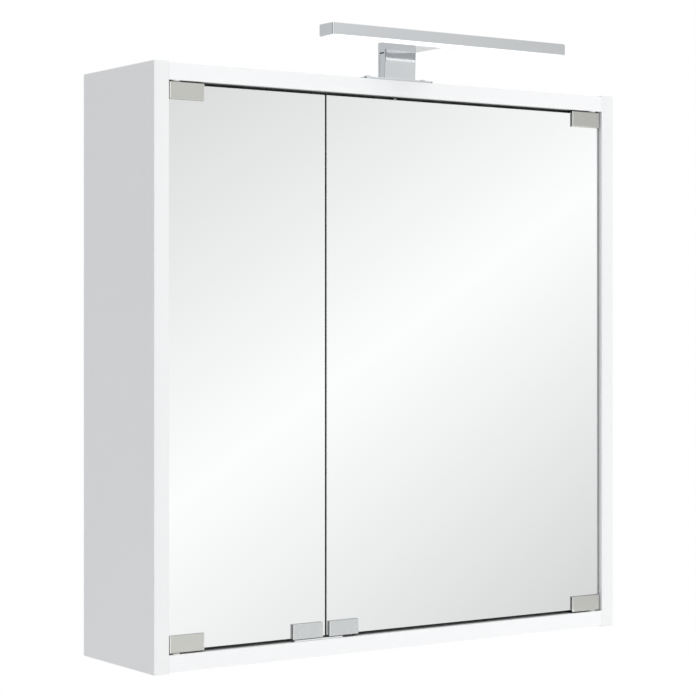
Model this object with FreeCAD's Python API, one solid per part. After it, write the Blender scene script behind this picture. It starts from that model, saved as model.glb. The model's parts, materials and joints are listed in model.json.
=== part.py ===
import FreeCAD, Part
import math
import os

from FreeCAD import Vector

# Wall cabinet with two clamped mirror doors, one third and two thirds wide, and an LED lamp on top.
# Millimetres. Origin on the wall plane, at the middle of the top board's rear edge.
# +X is right as seen from the front, +Y points into the wall, +Z is up, and the doors face -Y.

# Carcass
width = 600.0
height = 606.0
depth = 150.0
board = 17.0  # chipboard in white foil
board_overhang = 1.3  # how far the side boards stand past the top and bottom boards
edge_round = 0.8
back_thickness = 3.0
wall_gap = 10.0  # behind the back panel, for the hooks
groove_depth = 6.0
groove_slack = 0.4
fit_slack = 0.05  # round hole over its fastener, on the radius

# Doors
glass = 4.0
door_recess = 4.5  # glass front behind the boards' front edges
side_gap = 2.0
seam_gap = 2.0
end_gap = 3.5  # above and below the glass
left_door_width = 186.7

# Clamp hinges
clip_length = 40.0
clip_height = 17.5
clip_recess = 2.2  # clip front behind the boards' front edges
clip_gap = 1.2  # between a clip and the board it turns against
clip_round = 0.7
liner = 0.5
jaw = 2.5
jaw_setback = 5.0  # rear jaw starts this far in, so that it clears the side board
pressure_plate = 1.5
plate_margin = 2.0
clamp_radius = 2.0
clamp_spread = 17.0
pivot_inset = 8.7
pin_radius = 2.0
pin_reach = 8.0  # pivot pin inside its bush
running_clearance = 0.05
bush_radius = 3.5
bush_length = 10.0
bush_flange_radius = 4.5
bush_flange = 0.9

# Grip clips at the seam, and their catch
grip_length = 37.0
grip_height = 16.0
grip_insets = {-1: 4.5, 1: 1.5}  # from each pane's edge at the seam
grip_recess = 1.5  # grip front behind the boards' front edges
grip_floor = 0.8
strike = 1.2
strike_length = 20.0
strike_height = 9.0
strike_screw_radius = 1.5
catch_gap = 0.3
catch_width = 42.0
catch_tail = 19.0  # how far the plate runs on past the housing, to the left
catch_depth = 22.0
catch_height = 14.0
catch_plate = 1.6
catch_lip = 2.6  # front of the catch plate behind the boards' front edges
catch_tab = 10.0
magnet_length = 18.0
magnet_height = 8.0
magnet_depth = 9.0
magnet_rise = 3.0

# Flat-pack fittings
dowel_radius = 4.0
dowel_in_side = 10.0
dowel_in_board = 19.0
dowel_setback = 28.0  # from the front and rear edges
cam_radius = 7.5
cam_height = 12.5
cam_distance = 24.0  # from the side board to the cam's centre
cam_bolt_radius = 3.3
cam_thread_radius = 2.5
cam_thread_length = 11.0
cam_neck_radius = 1.6
cam_head_radius = 2.8
cam_head_length = 3.0

# Shelves
shelf_glass = 5.0
shelf_door_gap = 18.5  # shelf front behind the mirrors
shelf_side_gap = 2.0
lower_shelf_rise = 186.0  # above the bottom board
upper_shelf_drop = 190.0  # below the top board
pin_row = 32.0
pin_front_setback = 45.0  # front pins behind the boards' front edges
pin_rear_setback = 28.0  # rear pins before the back panel
pin_hole_depth = 9.0
shelf_pin_radius = 2.5
shelf_pin_length = 8.0
shelf_pin_collar = 4.0
shelf_pin_collar_thickness = 1.5
shelf_pin_tongue = 8.0
shelf_pin_tongue_radius = 3.4

# Wall hangers
hanger_width = 16.0
hanger_depth = 36.0
hanger_height = 42.0
hanger_drop = 7.0
hanger_round = 1.5
hook_thickness = 2.5
hook_height = 13.0
hook_lip = 12.0
hook_play = 5.0  # up and down travel that the back panel's slot leaves
adjuster_radius = 3.0
adjuster_length = 14.0
adjuster_spacing = 20.0

# Screws
screw_radius = 1.75
screw_head_radius = 3.4
screw_head = 2.0
screw_bite = 11.0
recess_width = 0.9
recess_length = 3.6
recess_depth = 1.1

# Lamp
lamp_length = 300.0
lamp_depth = 24.5
lamp_height = 12.3
lamp_wall = 1.6
lamp_reach = 67.5  # from the cabinet's front to the back of the lamp bar
lamp_rise = 27.7  # underside of the lamp bar above the top board
end_cap = 2.0
diffuser = 2.0
diffuser_inset = 0.3
strip_thickness = 1.2
strip_width = 12.0
led_count = 30
led_length = 3.5
led_width = 2.8
led_thickness = 0.7
arm_width = 40.0
arm_depth = 14.0
arm_thickness = 8.6
foot_rise = 17.4  # upright above the foot plate
foot_lean = 1.1  # front of the upright leans back by this much, from the arm down to the foot plate
foot_plate = 2.0
foot_plate_length = 90.0
foot_plate_depth = 22.0
foot_screw_span = 72.0
foot_wall = 2.0
latch_length = 8.0
latch_height = 1.5
latch_rise = 8.7  # above the arm root's underside
latch_depth = 1.2
arm_screw_spread = 24.0
arm_screw_radius = 1.5
arm_screw_head_radius = 2.4

# Leads and supply
lamp_lead_radius = 1.6
lamp_lead_bend = 8.0
lamp_lead_low_bend = 11.0
lamp_lead_turn = 15.0
supply_lead_radius = 2.8
supply_bend = 28.0
lead_setback = 11.5  # lead hole behind the cabinet's front
lead_hole_radius = 3.2
grommet_wall = 1.0
grommet_flange_radius = 4.6
driver_length = 100.0
driver_width = 36.0
driver_height = 24.0
driver_round = 3.0
driver_offset = 35.0
driver_from_wall = 60.0
ear_length = 20.0
ear_reach = 8.0
ear_thickness = 2.5
lead_clip_length = 8.0
lead_clip_wall = 3.0

# Switch and socket box
box_width = 60.0
box_height = 112.0
box_depth = 45.0
box_wall = 2.2
box_drop = 52.0  # below the top board
box_from_wall = 52.0
cover = 3.0
cover_round = 3.0
socket_well_radius = 19.5
socket_well_depth = 17.0
socket_wall = 2.2
socket_base = 4.0
socket_flange = 3.0
socket_flange_thickness = 1.5
socket_rise = 38.0
contact_radius = 2.6
contact_spacing = 19.0
rocker_rise = 86.0
rocker_width = 20.0
rocker_height = 28.0
rocker_depth = 8.0
rocker_swing = 7.0  # degrees each side of level
rocker_gap = 0.7
trunnion_radius = 1.5
trunnion_length = 2.5
rocker_pivot_depth = 5.0  # trunnions behind the cover's face
lug = 3.0
lug_height = 8.0
gland_radius = 8.0
gland_neck_radius = 6.0
gland_length = 12.0
gland_bore_radius = 3.6
outlet_radius = 8.0
outlet_wall = 2.0
outlet_flange_radius = 12.0
outlet_flange = 1.5
outlet_side = 70.0  # outlet's centre from the right side board
outlet_drop = 150.0

# Places that follow
x_in = width / 2 - board
y_front = -depth
z_ceiling = -board / 2
z_roof = board / 2
z_crown = z_roof + board_overhang
z_base = z_crown - height
z_floor = z_base + board_overhang + board
z_middle = (z_floor + z_ceiling) / 2
y_back = -wall_gap - back_thickness
y_glass = y_front + door_recess
y_glass_back = y_glass + glass
y_pivot = y_glass + glass / 2
y_clip = y_front + clip_recess
z_glass_low = z_floor + end_gap
z_glass_high = z_ceiling - end_gap
x_door = x_in - side_gap
x_seam = -x_door + left_door_width + seam_gap / 2
x_pivot = -x_door + pivot_inset
x_box = x_in - box_width / 2
y_box = -box_from_wall
y_cover = y_box - box_depth
z_box = z_ceiling - box_drop - box_height
y_bar = y_front - lamp_reach
z_bar = z_roof + lamp_rise
z_arm = z_bar + lamp_height - arm_thickness
z_upright = z_roof + foot_plate + foot_rise
z_lead = z_ceiling - driver_height / 2
y_lead = y_front + lead_setback
along_x = Vector(1, 0, 0)
along_y = Vector(0, 1, 0)
along_z = Vector(0, 0, 1)


def box(xs, ys, zs):
    corner = Vector(min(xs), min(ys), min(zs))
    return Part.makeBox(abs(xs[1] - xs[0]), abs(ys[1] - ys[0]), abs(zs[1] - zs[0]), corner)


def rod(radius, start, end):
    span = Vector(*end) - Vector(*start)
    return Part.makeCylinder(radius, span.Length, Vector(*start), span)


def joined(first, others):
    return first.fuse(others).removeSplitter()


def group(shapes):
    return Part.makeCompound(shapes)


def flip(shape):
    """The same piece on the other side of the cabinet."""
    return shape.mirror(Vector(0, 0, 0), along_x)


def invert(shape):
    """The same piece at the other end of the door opening."""
    return shape.mirror(Vector(0, 0, z_middle), along_z)


def both_ends(shape):
    return [shape, invert(shape)]


def four_corners(shape):
    return [*both_ends(shape), *both_ends(flip(shape))]


def straight(edge, axis):
    if not isinstance(edge.Curve, Part.Line):
        return False
    run = edge.Vertexes[-1].Point - edge.Vertexes[0].Point
    return abs(run.normalize().dot(axis)) > 0.999


def on_plane(edge, axis, place):
    """Whether the whole edge lies where its coordinate along the axis equals the place."""
    return all(abs(vertex.Point.dot(axis) - place) < 0.001 for vertex in edge.Vertexes)


def rounded(shape, radius, edges):
    return shape.makeFillet(radius, edges)


def rounded_along(shape, radius, axis):
    return rounded(shape, radius, [edge for edge in shape.Edges if straight(edge, axis)])


def rounded_face(shape, radius, axis, place):
    return rounded(shape, radius, [edge for edge in shape.Edges if on_plane(edge, axis, place)])


def screw(tip, head, radius=screw_radius, head_radius=screw_head_radius, head_length=screw_head):
    """A screw from its tip to the top of its head, with a cross recess."""
    tip = Vector(*tip)
    head = Vector(*head)
    way = (head - tip).normalize()
    neck = head - way * head_length
    body = joined(rod(radius, tip, neck), [rod(head_radius, neck, head)])
    across = along_z if abs(way.z) < 0.5 else along_x
    bars = []
    for long_way in (across, way.cross(across)):
        wide_way = way.cross(long_way)
        corner = head - long_way * (recess_length / 2) - wide_way * (recess_width / 2)
        face = Part.makePolygon([
            corner,
            corner + long_way * recess_length,
            corner + long_way * recess_length + wide_way * recess_width,
            corner + wide_way * recess_width,
            corner,
        ])
        bars.append(Part.Face(face).extrude(way * -recess_depth))
    return body.cut(bars)


# Flat-pack fittings: two dowels and a cam at each corner of the carcass


def dowels(slack=0.0):
    shapes = []
    for y in (y_front + dowel_setback, -dowel_setback):
        start = (-x_in - dowel_in_side - slack, y, 0)
        end = (-x_in + dowel_in_board + slack, y, 0)
        shapes += corner_set(rod(dowel_radius + slack, start, end))
    return shapes


def corner_set(shape):
    """Copies at the ends of both boards; in the bottom board they point the other way up."""
    drop = Vector(0, 0, z_floor - board / 2)
    lower = shape.mirror(Vector(0, 0, 0), along_z)
    lower.translate(drop)
    return [shape, flip(shape), lower, flip(lower)]


def cam_bolts(slack=0.0):
    y = y_front / 2
    neck_end = -x_in + cam_distance - cam_head_length / 2
    shoulder = -x_in + cam_distance - cam_radius - fit_slack
    thread = rod(cam_thread_radius + slack, (-x_in - cam_thread_length - slack, y, 0), (-x_in, y, 0))
    shank = rod(cam_bolt_radius + slack, (-x_in, y, 0), (shoulder, y, 0))
    neck = rod(cam_neck_radius, (shoulder, y, 0), (neck_end, y, 0))
    head = rod(cam_head_radius, (neck_end, y, 0), (neck_end + cam_head_length, y, 0))
    return corner_set(joined(thread, [shank, neck, head]))


def cam_seats(slack=0.0):
    x = -x_in + cam_distance
    y = y_front / 2
    return corner_set(rod(cam_radius + slack, (x, y, z_roof - cam_height - slack), (x, y, z_roof)))


def cams():
    x = -x_in + cam_distance
    y = y_front / 2
    body = rod(cam_radius, (x, y, z_roof - cam_height), (x, y, z_roof - edge_round))
    mouth = rod(cam_head_radius + fit_slack, (x - cam_radius - 1, y, 0), (x + cam_head_length, y, 0))
    slot = box((x - recess_length, x + recess_length), (y - recess_width, y + recess_width),
               (z_roof - edge_round - 2 * recess_depth, z_roof))
    cross = slot.copy()
    cross.rotate(Vector(x, y, 0), along_z, 90)
    return corner_set(body.cut([mouth, slot, cross]))


# Shelf pins and their holes

pin_ys = (y_front + pin_front_setback, y_back - pin_rear_setback)
shelf_seats = (z_floor + lower_shelf_rise, z_ceiling - upper_shelf_drop)


def pin_holes():
    holes = []
    for seat in shelf_seats:
        for y in pin_ys:
            for step in (-1, 0, 1):
                z = seat + step * pin_row
                hole = rod(shelf_pin_radius + fit_slack, (-x_in - pin_hole_depth, y, z), (-x_in, y, z))
                holes += [hole, flip(hole)]
    return holes


def shelf_pins():
    pins = []
    for z in shelf_seats:
        for y in pin_ys:
            collar_end = -x_in + shelf_pin_collar_thickness
            pin = rod(shelf_pin_radius, (-x_in - shelf_pin_length, y, z), (-x_in, y, z))
            collar = rod(shelf_pin_collar, (-x_in, y, z), (collar_end, y, z))
            tongue = rod(shelf_pin_tongue_radius, (collar_end, y, z), (collar_end + shelf_pin_tongue, y, z))
            tongue = tongue.cut(box((collar_end, 0), (y - board, y + board), (z, z + board)))
            whole = joined(pin, [collar, tongue])
            pins += [whole, flip(whole)]
    return pins


def shelf(seat):
    edge = x_in - shelf_side_gap
    ys = (y_glass_back + shelf_door_gap, y_back - shelf_side_gap)
    pane = box((-edge, edge), ys, (seat, seat + shelf_glass))
    return rounded_along(pane, shelf_side_gap, along_z)


# Wall hangers: a body on each side board, whose hook reaches back through the back panel

x_hook = -x_in + hanger_width / 2
z_hanger = z_ceiling - hanger_drop - hanger_height
z_hook = z_ceiling - hanger_drop - hanger_height / 2
y_hanger = y_back - fit_slack - hanger_depth


def hook(slack=0.0):
    half = hook_thickness / 2 + slack
    xs = (x_hook - half, x_hook + half)
    z_low = z_hook - hook_height / 2
    arm = box(xs, (y_hanger + hanger_depth / 2 - slack, -hook_thickness / 2),
              (z_low - slack, z_low + hook_height + slack))
    lip = box(xs, (-hook_thickness / 2 - hook_thickness, -hook_thickness / 2), (z_low - hook_lip, z_low))
    return arm if slack else joined(arm, [lip])


def hook_slots():
    half = hook_thickness / 2 + 1
    reach = hook_height / 2 + hook_play
    slot = box((x_hook - half, x_hook + half), (y_back - 1, 0), (z_hook - reach - hook_lip, z_hook + reach))
    return [slot, flip(slot)]


def adjusters(slack=0.0):
    screws = []
    for side in (-1, 1):
        z = z_hook + side * adjuster_spacing / 2
        start = (x_hook, y_hanger + adjuster_length + slack, z)
        if slack:
            screws.append(rod(adjuster_radius + slack, start, (x_hook, y_hanger, z)))
        else:
            screws.append(screw(start, (x_hook, y_hanger + recess_depth, z),
                                adjuster_radius - 1, adjuster_radius, 2 * recess_depth))
    return screws


def hanger_screws():
    screws = []
    for y in (y_hanger + screw_head_radius + 2, y_back - screw_head_radius - 2):
        for z in (z_hanger + screw_head_radius + 1, z_hanger + hanger_height - screw_head_radius - 1):
            screws.append(screw((-x_in - screw_bite, y, z), (-x_in + hanger_width, y, z)))
    return [screws[0], screws[3]]


def screw_ways(screws, radius=screw_radius, head_radius=screw_head_radius):
    """The clear holes of screws that lie along X: shank, and a counterbore for the head."""
    ways = []
    for one in screws:
        reach = one.BoundBox
        y = (reach.YMin + reach.YMax) / 2
        z = (reach.ZMin + reach.ZMax) / 2
        ways.append(rod(radius + fit_slack, (reach.XMin, y, z), (reach.XMax, y, z)))
        ways.append(rod(head_radius + fit_slack, (reach.XMax - screw_head, y, z), (reach.XMax + 1, y, z)))
    return ways


def hanger():
    body = box((-x_in, -x_in + hanger_width), (y_hanger, y_back - fit_slack),
               (z_hanger, z_hanger + hanger_height))
    body = rounded_face(body, hanger_round, along_x, -x_in + hanger_width)
    return body.cut([hook(fit_slack), *adjusters(fit_slack), *screw_ways(hanger_screws())])


# Switch and socket box, on the right side board


def box_screws():
    screws = []
    y = y_box - box_depth / 2
    for z in (z_box + socket_rise / 4, z_box + box_height - socket_rise / 4):
        screws.append(screw((x_in + screw_bite, y, z), (x_in - box_wall - screw_head, y, z)))
    return screws


def box_housing():
    xs = (x_in - box_width, x_in)
    shell = box(xs, (y_cover, y_box), (z_box, z_box + box_height))
    shell = rounded(shell, cover_round, [e for e in shell.Edges if on_plane(e, along_x, xs[0])
                                         and not on_plane(e, along_y, y_cover)])
    room = box((xs[0] + box_wall, xs[1] - box_wall), (y_cover - 1, y_box - box_wall),
               (z_box + box_wall, z_box + box_height - box_wall))
    y = y_box - box_depth / 2
    lead_hole = rod(supply_lead_radius + fit_slack, (x_box, -driver_from_wall, z_box + box_height / 2),
                    (x_box, -driver_from_wall, z_box + box_height + 1))
    gland_hole = rod(gland_neck_radius + fit_slack, (x_box, y, z_box - 1), (x_box, y, z_box + box_wall + 1))
    holes = [rod(screw_radius + fit_slack, (x_in - box_wall - 1, y, one.BoundBox.Center.z),
                 (x_in + 1, y, one.BoundBox.Center.z)) for one in box_screws()]
    return shell.cut([room, lead_hole, gland_hole, *holes])


def gland():
    y = y_box - box_depth / 2
    neck = rod(gland_neck_radius, (x_box, y, z_box - 1), (x_box, y, z_box + box_wall + 2))
    nut = rod(gland_radius, (x_box, y, z_box - gland_length), (x_box, y, z_box))
    nut = rounded_face(nut, 1.5, along_z, z_box - gland_length)
    bore = rod(gland_bore_radius, (x_box, y, z_box - gland_length - 1), (x_box, y, z_box + box_depth))
    return joined(nut, [neck]).cut(bore)


z_socket = z_box + socket_rise
z_rocker = z_box + rocker_rise
y_face = y_cover - cover
y_rocker_pivot = y_face + rocker_pivot_depth


def rocker():
    """A shallow V of a rocker on two trunnions, stored with its lower half pressed in."""
    half = rocker_height / 2
    crown = half * math.tan(math.radians(rocker_swing))
    outline = [
        (y_face - crown, z_rocker + half),
        (y_face, z_rocker),
        (y_face - crown, z_rocker - half),
        (y_face + rocker_depth - crown, z_rocker - half + crown),
        (y_face + rocker_depth, z_rocker),
        (y_face + rocker_depth - crown, z_rocker + half - crown),
    ]
    points = [Vector(x_box - rocker_width / 2, y, z) for y, z in outline]
    body = Part.Face(Part.makePolygon([*points, points[0]])).extrude(Vector(rocker_width, 0, 0))
    body = rounded(body, edge_round, [edge for edge in body.Edges if on_plane(edge, along_y, y_face - crown)])
    reach = rocker_width / 2 + trunnion_length
    trunnions = rod(trunnion_radius, (x_box - reach, y_rocker_pivot, z_rocker),
                    (x_box + reach, y_rocker_pivot, z_rocker))
    body = joined(body, [trunnions])
    body.rotate(Vector(x_box, y_rocker_pivot, z_rocker), along_x, rocker_swing)
    return body


def box_cover():
    plate = box((x_in - box_width, x_in), (y_face, y_cover), (z_box, z_box + box_height))
    plate = rounded(plate, cover_round / 2, [edge for edge in plate.Edges if on_plane(edge, along_y, y_face)])
    half_x = rocker_width / 2 + rocker_gap
    half_z = rocker_height / 2 + rocker_gap
    window = box((x_box - half_x, x_box + half_x), (y_face - 1, y_cover + 1),
                 (z_rocker - half_z, z_rocker + half_z))
    socket_hole = rod(socket_well_radius + socket_wall + fit_slack, (x_box, y_face - 1, z_socket),
                      (x_box, y_cover + 1, z_socket))
    lugs = []
    for side in (-1, 1):
        inner = x_box + side * half_x
        lugs.append(box((inner, inner + side * lug), (y_cover, y_rocker_pivot + lug),
                        (z_rocker - lug_height / 2, z_rocker + lug_height / 2)))
    reach = rocker_width / 2 + trunnion_length + fit_slack
    bores = rod(trunnion_radius + running_clearance, (x_box - reach, y_rocker_pivot, z_rocker),
                (x_box + reach, y_rocker_pivot, z_rocker))
    return joined(plate, lugs).cut([window, socket_hole, bores])


def socket_insert():
    outer = socket_well_radius + socket_wall
    y_bottom = y_face + socket_well_depth
    cup = rod(outer, (x_box, y_face, z_socket), (x_box, y_bottom + socket_base, z_socket))
    rim = rod(outer + socket_flange, (x_box, y_face - socket_flange_thickness, z_socket),
              (x_box, y_face, z_socket))
    rim = rounded_face(rim, edge_round, along_y, y_face - socket_flange_thickness)
    well = rod(socket_well_radius, (x_box, y_face - socket_flange_thickness - 1, z_socket),
               (x_box, y_bottom, z_socket))
    contacts = []
    for side in (-1, 1):
        x = x_box + side * contact_spacing / 2
        contacts.append(rod(contact_radius, (x, y_bottom - 1, z_socket), (x, y_bottom + socket_base + 1, z_socket)))
    return joined(cup, [rim]).cut([well, *contacts])


# Doors: the pane, and for each corner a clamp hinge; the grip clips sit beside the seam

clip_floor = end_gap - clip_gap - liner
x_clip = -x_door
z_clip = z_ceiling - clip_gap
y_plate = y_glass_back + liner
y_jaw = y_plate + pressure_plate + fit_slack


def pane(xs):
    return box(xs, (y_glass, y_glass_back), (z_glass_low, z_glass_high))


def clamp_screws(slack=0.0):
    z = z_clip - clip_floor - (clip_height - clip_floor) / 2
    middle = x_clip + jaw_setback + (clip_length - jaw_setback) / 2
    screws = []
    for side in (-1, 1):
        x = middle + side * clamp_spread / 2
        thread = rod(clamp_radius + slack, (x, y_jaw - fit_slack, z), (x, y_jaw + jaw, z))
        key = rod(clamp_radius / 2, (x, y_jaw + jaw / 2, z), (x, y_jaw + jaw, z))
        screws.append(thread if slack else thread.cut(key))
    return screws


def hinge_clip():
    xs = (x_clip, x_clip + clip_length)
    zs = (z_clip - clip_height, z_clip)
    front = box(xs, (y_clip, y_glass - liner), zs)
    floor = box(xs, (y_clip, y_plate), (z_clip - clip_floor, z_clip))
    jaw_xs = (x_clip + jaw_setback, xs[1])
    rear = box(jaw_xs, (y_jaw, y_jaw + jaw), zs)
    bridge = box(jaw_xs, (y_clip, y_jaw + jaw), (z_clip - clip_floor, z_clip))
    body = joined(front, [floor, rear, bridge])
    body = rounded_face(body, clip_round, along_y, y_clip)
    seat = rod(pin_radius, (x_pivot, y_pivot, z_clip - clip_floor), (x_pivot, y_pivot, z_clip))
    return body.cut([seat, *clamp_screws(fit_slack)])


def hinge_liner():
    xs = (x_clip + fit_slack, x_clip + clip_length - fit_slack)
    zs = (z_clip - clip_height + fit_slack, z_glass_high + liner)
    sleeve = box(xs, (y_glass - liner, y_glass_back + liner), zs)
    return sleeve.cut(box((x_clip - 1, x_clip + clip_length), (y_glass, y_glass_back), (zs[0] - 1, z_glass_high)))


def pressure_pad():
    return box((x_clip + jaw_setback + plate_margin, x_clip + clip_length - plate_margin),
               (y_plate, y_plate + pressure_plate),
               (z_clip - clip_height + plate_margin, z_clip - clip_floor - plate_margin))


def pivot_pin():
    pin = rod(pin_radius, (x_pivot, y_pivot, z_clip - clip_floor), (x_pivot, y_pivot, z_ceiling + pin_reach))
    return rounded_face(pin, pin_radius / 3, along_z, z_ceiling + pin_reach)


def bush(slack=0.0):
    body = rod(bush_radius + slack, (x_pivot, y_pivot, z_ceiling), (x_pivot, y_pivot, z_ceiling + bush_length + slack))
    if slack:
        return body
    flange = rod(bush_flange_radius, (x_pivot, y_pivot, z_ceiling - bush_flange), (x_pivot, y_pivot, z_ceiling))
    bore = rod(pin_radius + running_clearance, (x_pivot, y_pivot, z_ceiling - bush_flange),
               (x_pivot, y_pivot, z_ceiling + bush_length))
    return joined(body, [flange]).cut(bore)


def grip_screw(side, slack=0.0):
    x = sum(grip_span(side)) / 2
    z = z_glass_low + grip_height / 2
    start = (x, y_glass_back + liner, z)
    end = (x, y_plate + jaw + strike, z)
    if slack:
        return rod(strike_screw_radius + slack, start, end)
    return screw(start, end, strike_screw_radius, 2 * strike_screw_radius, strike / 2)


def grip_span(side):
    near = x_seam + side * (seam_gap / 2 + grip_insets[side])
    return sorted((near, near + side * grip_length))


def grip_clip(side):
    xs = grip_span(side)
    z_low = z_glass_low - liner - grip_floor
    zs = (z_low, z_low + grip_height)
    y_grip = y_front + grip_recess
    front = box(xs, (y_grip, y_glass - liner), zs)
    floor = box(xs, (y_grip, y_plate + jaw), (z_low, z_low + grip_floor))
    rear = box(xs, (y_plate, y_plate + jaw), zs)
    body = rounded_face(joined(front, [floor, rear]), clip_round, along_y, y_grip)
    return body.cut(grip_screw(side, fit_slack))


def grip_liner(side):
    xs = grip_span(side)
    z_top = z_glass_low - liner - grip_floor + grip_height - fit_slack
    sleeve = box((xs[0] + fit_slack, xs[1] - fit_slack), (y_glass - liner, y_glass_back + liner),
                 (z_glass_low - liner, z_top))
    return sleeve.cut(box((xs[0], xs[1]), (y_glass, y_glass_back), (z_glass_low, z_top + 1)))


def strike_plate(side):
    xs = grip_span(side)
    middle = (xs[0] + xs[1]) / 2
    z = z_glass_low + grip_height / 2
    plate = box((middle - strike_length / 2, middle + strike_length / 2), (y_plate + jaw, y_plate + jaw + strike),
                (z - strike_height / 2, z + strike_height / 2))
    head = rod(2 * strike_screw_radius + fit_slack, (middle, y_plate + jaw + strike / 2, z),
               (middle, y_plate + jaw + strike, z))
    return plate.cut([grip_screw(side, fit_slack), head])


# Double magnetic catch on the bottom board, behind the seam

y_catch = y_plate + jaw + strike + catch_gap
catch_xs = (x_seam - catch_width / 2, x_seam + catch_width / 2)
y_tab = y_catch + catch_depth + catch_tab


def catch_screws():
    screws = []
    for side in (-1, 1):
        x = x_seam + side * catch_width / 4
        y = y_tab - catch_tab / 2
        z = z_floor + catch_plate
        screws.append(screw((x, y, z_floor - screw_bite), (x, y, z + screw_head)))
    return screws


def upright_ways(screws, radius=screw_radius):
    """The clear holes of screws that stand along Z."""
    ways = []
    for one in screws:
        reach = one.BoundBox
        x = (reach.XMin + reach.XMax) / 2
        y = (reach.YMin + reach.YMax) / 2
        ways.append(rod(radius + fit_slack, (x, y, reach.ZMin), (x, y, reach.ZMax)))
    return ways


def catch_base():
    xs = (catch_xs[0] - catch_tail, catch_xs[1])
    plate = box(xs, (y_front + catch_lip, y_tab), (z_floor, z_floor + catch_plate))
    plate = rounded_along(plate, 2.0, along_z)
    return plate.cut(upright_ways(catch_screws()))


def magnets():
    shapes = []
    for side in (-1, 1):
        x = x_seam + side * (catch_width / 4)
        z = z_floor + catch_plate + magnet_rise
        shapes.append(box((x - magnet_length / 2, x + magnet_length / 2), (y_catch, y_catch + magnet_depth),
                          (z, z + magnet_height)))
    return shapes


def catch_housing():
    body = box(catch_xs, (y_catch, y_catch + catch_depth),
               (z_floor + catch_plate, z_floor + catch_plate + catch_height))
    body = rounded_along(body, 1.5, along_z)
    return body.cut(magnets())


# Lamp: a foot on the top board, an arm that reaches forward, and the bar across its end

foot_xs = (-arm_width / 2, arm_width / 2)
y_foot_back = y_front + arm_depth


def lean():
    """The wedge in front of the upright's leaning face, across the foot and the arm's root."""
    z_low = z_roof + foot_plate
    outline = [(y_front - 1, z_low), (y_front + foot_lean, z_low), (y_front, z_arm), (y_front - 1, z_arm)]
    points = [Vector(-arm_width, y, z) for y, z in outline]
    return Part.Face(Part.makePolygon([*points, points[0]])).extrude(Vector(2 * arm_width, 0, 0))


def lamp_lead_path():
    corners = [
        (0, y_strip + strip_width / 2, z_arm + arm_thickness / 2),
        (0, y_lead, z_arm + arm_thickness / 2),
        (0, y_lead, z_lead),
        (0, -driver_from_wall, z_lead),
        (driver_offset, -driver_from_wall, z_lead),
    ]
    return corners, (lamp_lead_bend, lamp_lead_low_bend, lamp_lead_turn)


def supply_path():
    corners = [
        (driver_offset + driver_length, -driver_from_wall, z_lead),
        (x_box, -driver_from_wall, z_lead),
        (x_box, -driver_from_wall, z_box + box_height - 2 * box_wall),
    ]
    return corners, (supply_bend,)


def lead(radius, corners, bends):
    """A round lead of straight runs joined by tangent arcs."""
    points = [Vector(*corner) for corner in corners]
    edges = []
    here = points[0]
    for before, corner, after, bend in zip(points, points[1:], points[2:], bends):
        inward = (before - corner).normalize()
        outward = (after - corner).normalize()
        tangent = bend / math.tan(inward.getAngle(outward) / 2)
        start = corner + inward * tangent
        end = corner + outward * tangent
        bisector = (inward + outward).normalize()
        centre = corner + bisector * math.hypot(bend, tangent)
        middle = centre - bisector * bend
        edges.append(Part.LineSegment(here, start).toShape())
        edges.append(Part.Arc(start, middle, end).toShape())
        here = end
    edges.append(Part.LineSegment(here, points[-1]).toShape())
    path = Part.Wire(edges)
    profile = Part.Wire(Part.makeCircle(radius, points[0], points[1] - points[0]))
    tube = path.makePipeShell([profile], True, False)
    share = tube.Volume / (math.pi * radius ** 2 * path.Length)
    print(f"lead: radius {radius}, length {path.Length:.1f}, bends {bends}, volume share {share:.4f}")
    return tube


def foot_screws():
    screws = []
    for side in (-1, 1):
        x = side * foot_screw_span / 2
        y = y_front + foot_plate_depth / 2
        screws.append(screw((x, y, z_roof - screw_bite), (x, y, z_roof + foot_plate + screw_head)))
    return screws


def lamp_foot():
    half = foot_plate_length / 2
    plate = box((-half, half), (y_front, y_front + foot_plate_depth), (z_roof, z_roof + foot_plate))
    plate = rounded_along(plate, foot_plate_depth / 4, along_z)
    upright = box(foot_xs, (y_front, y_foot_back), (z_roof, z_upright)).cut(lean())
    room = box((foot_xs[0] + foot_wall, foot_xs[1] - foot_wall), (y_front + foot_lean + foot_wall, y_foot_back),
               (z_roof + foot_plate, z_upright + 1))
    rear_wall = box(foot_xs, (y_foot_back - edge_round, y_foot_back), (z_roof, z_upright))
    way = rod(lead_hole_radius, (0, y_lead, z_roof - 1), (0, y_lead, z_roof + foot_plate + 1))
    hollow = joined(upright.cut(room), [rear_wall])
    return joined(plate, [hollow]).cut([way, *upright_ways(foot_screws())])


def arm_screws(slack=0.0):
    z = z_arm + arm_thickness / 2
    screws = []
    for side in (-1, 1):
        x = side * arm_screw_spread / 2
        tip = (x, y_bar + screw_bite, z)
        head = (x, y_bar - lamp_wall - screw_head, z)
        if slack:
            screws.append(rod(arm_screw_radius + slack, tip, head))
        else:
            screws.append(screw(tip, head, arm_screw_radius, arm_screw_head_radius))
    return screws


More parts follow.
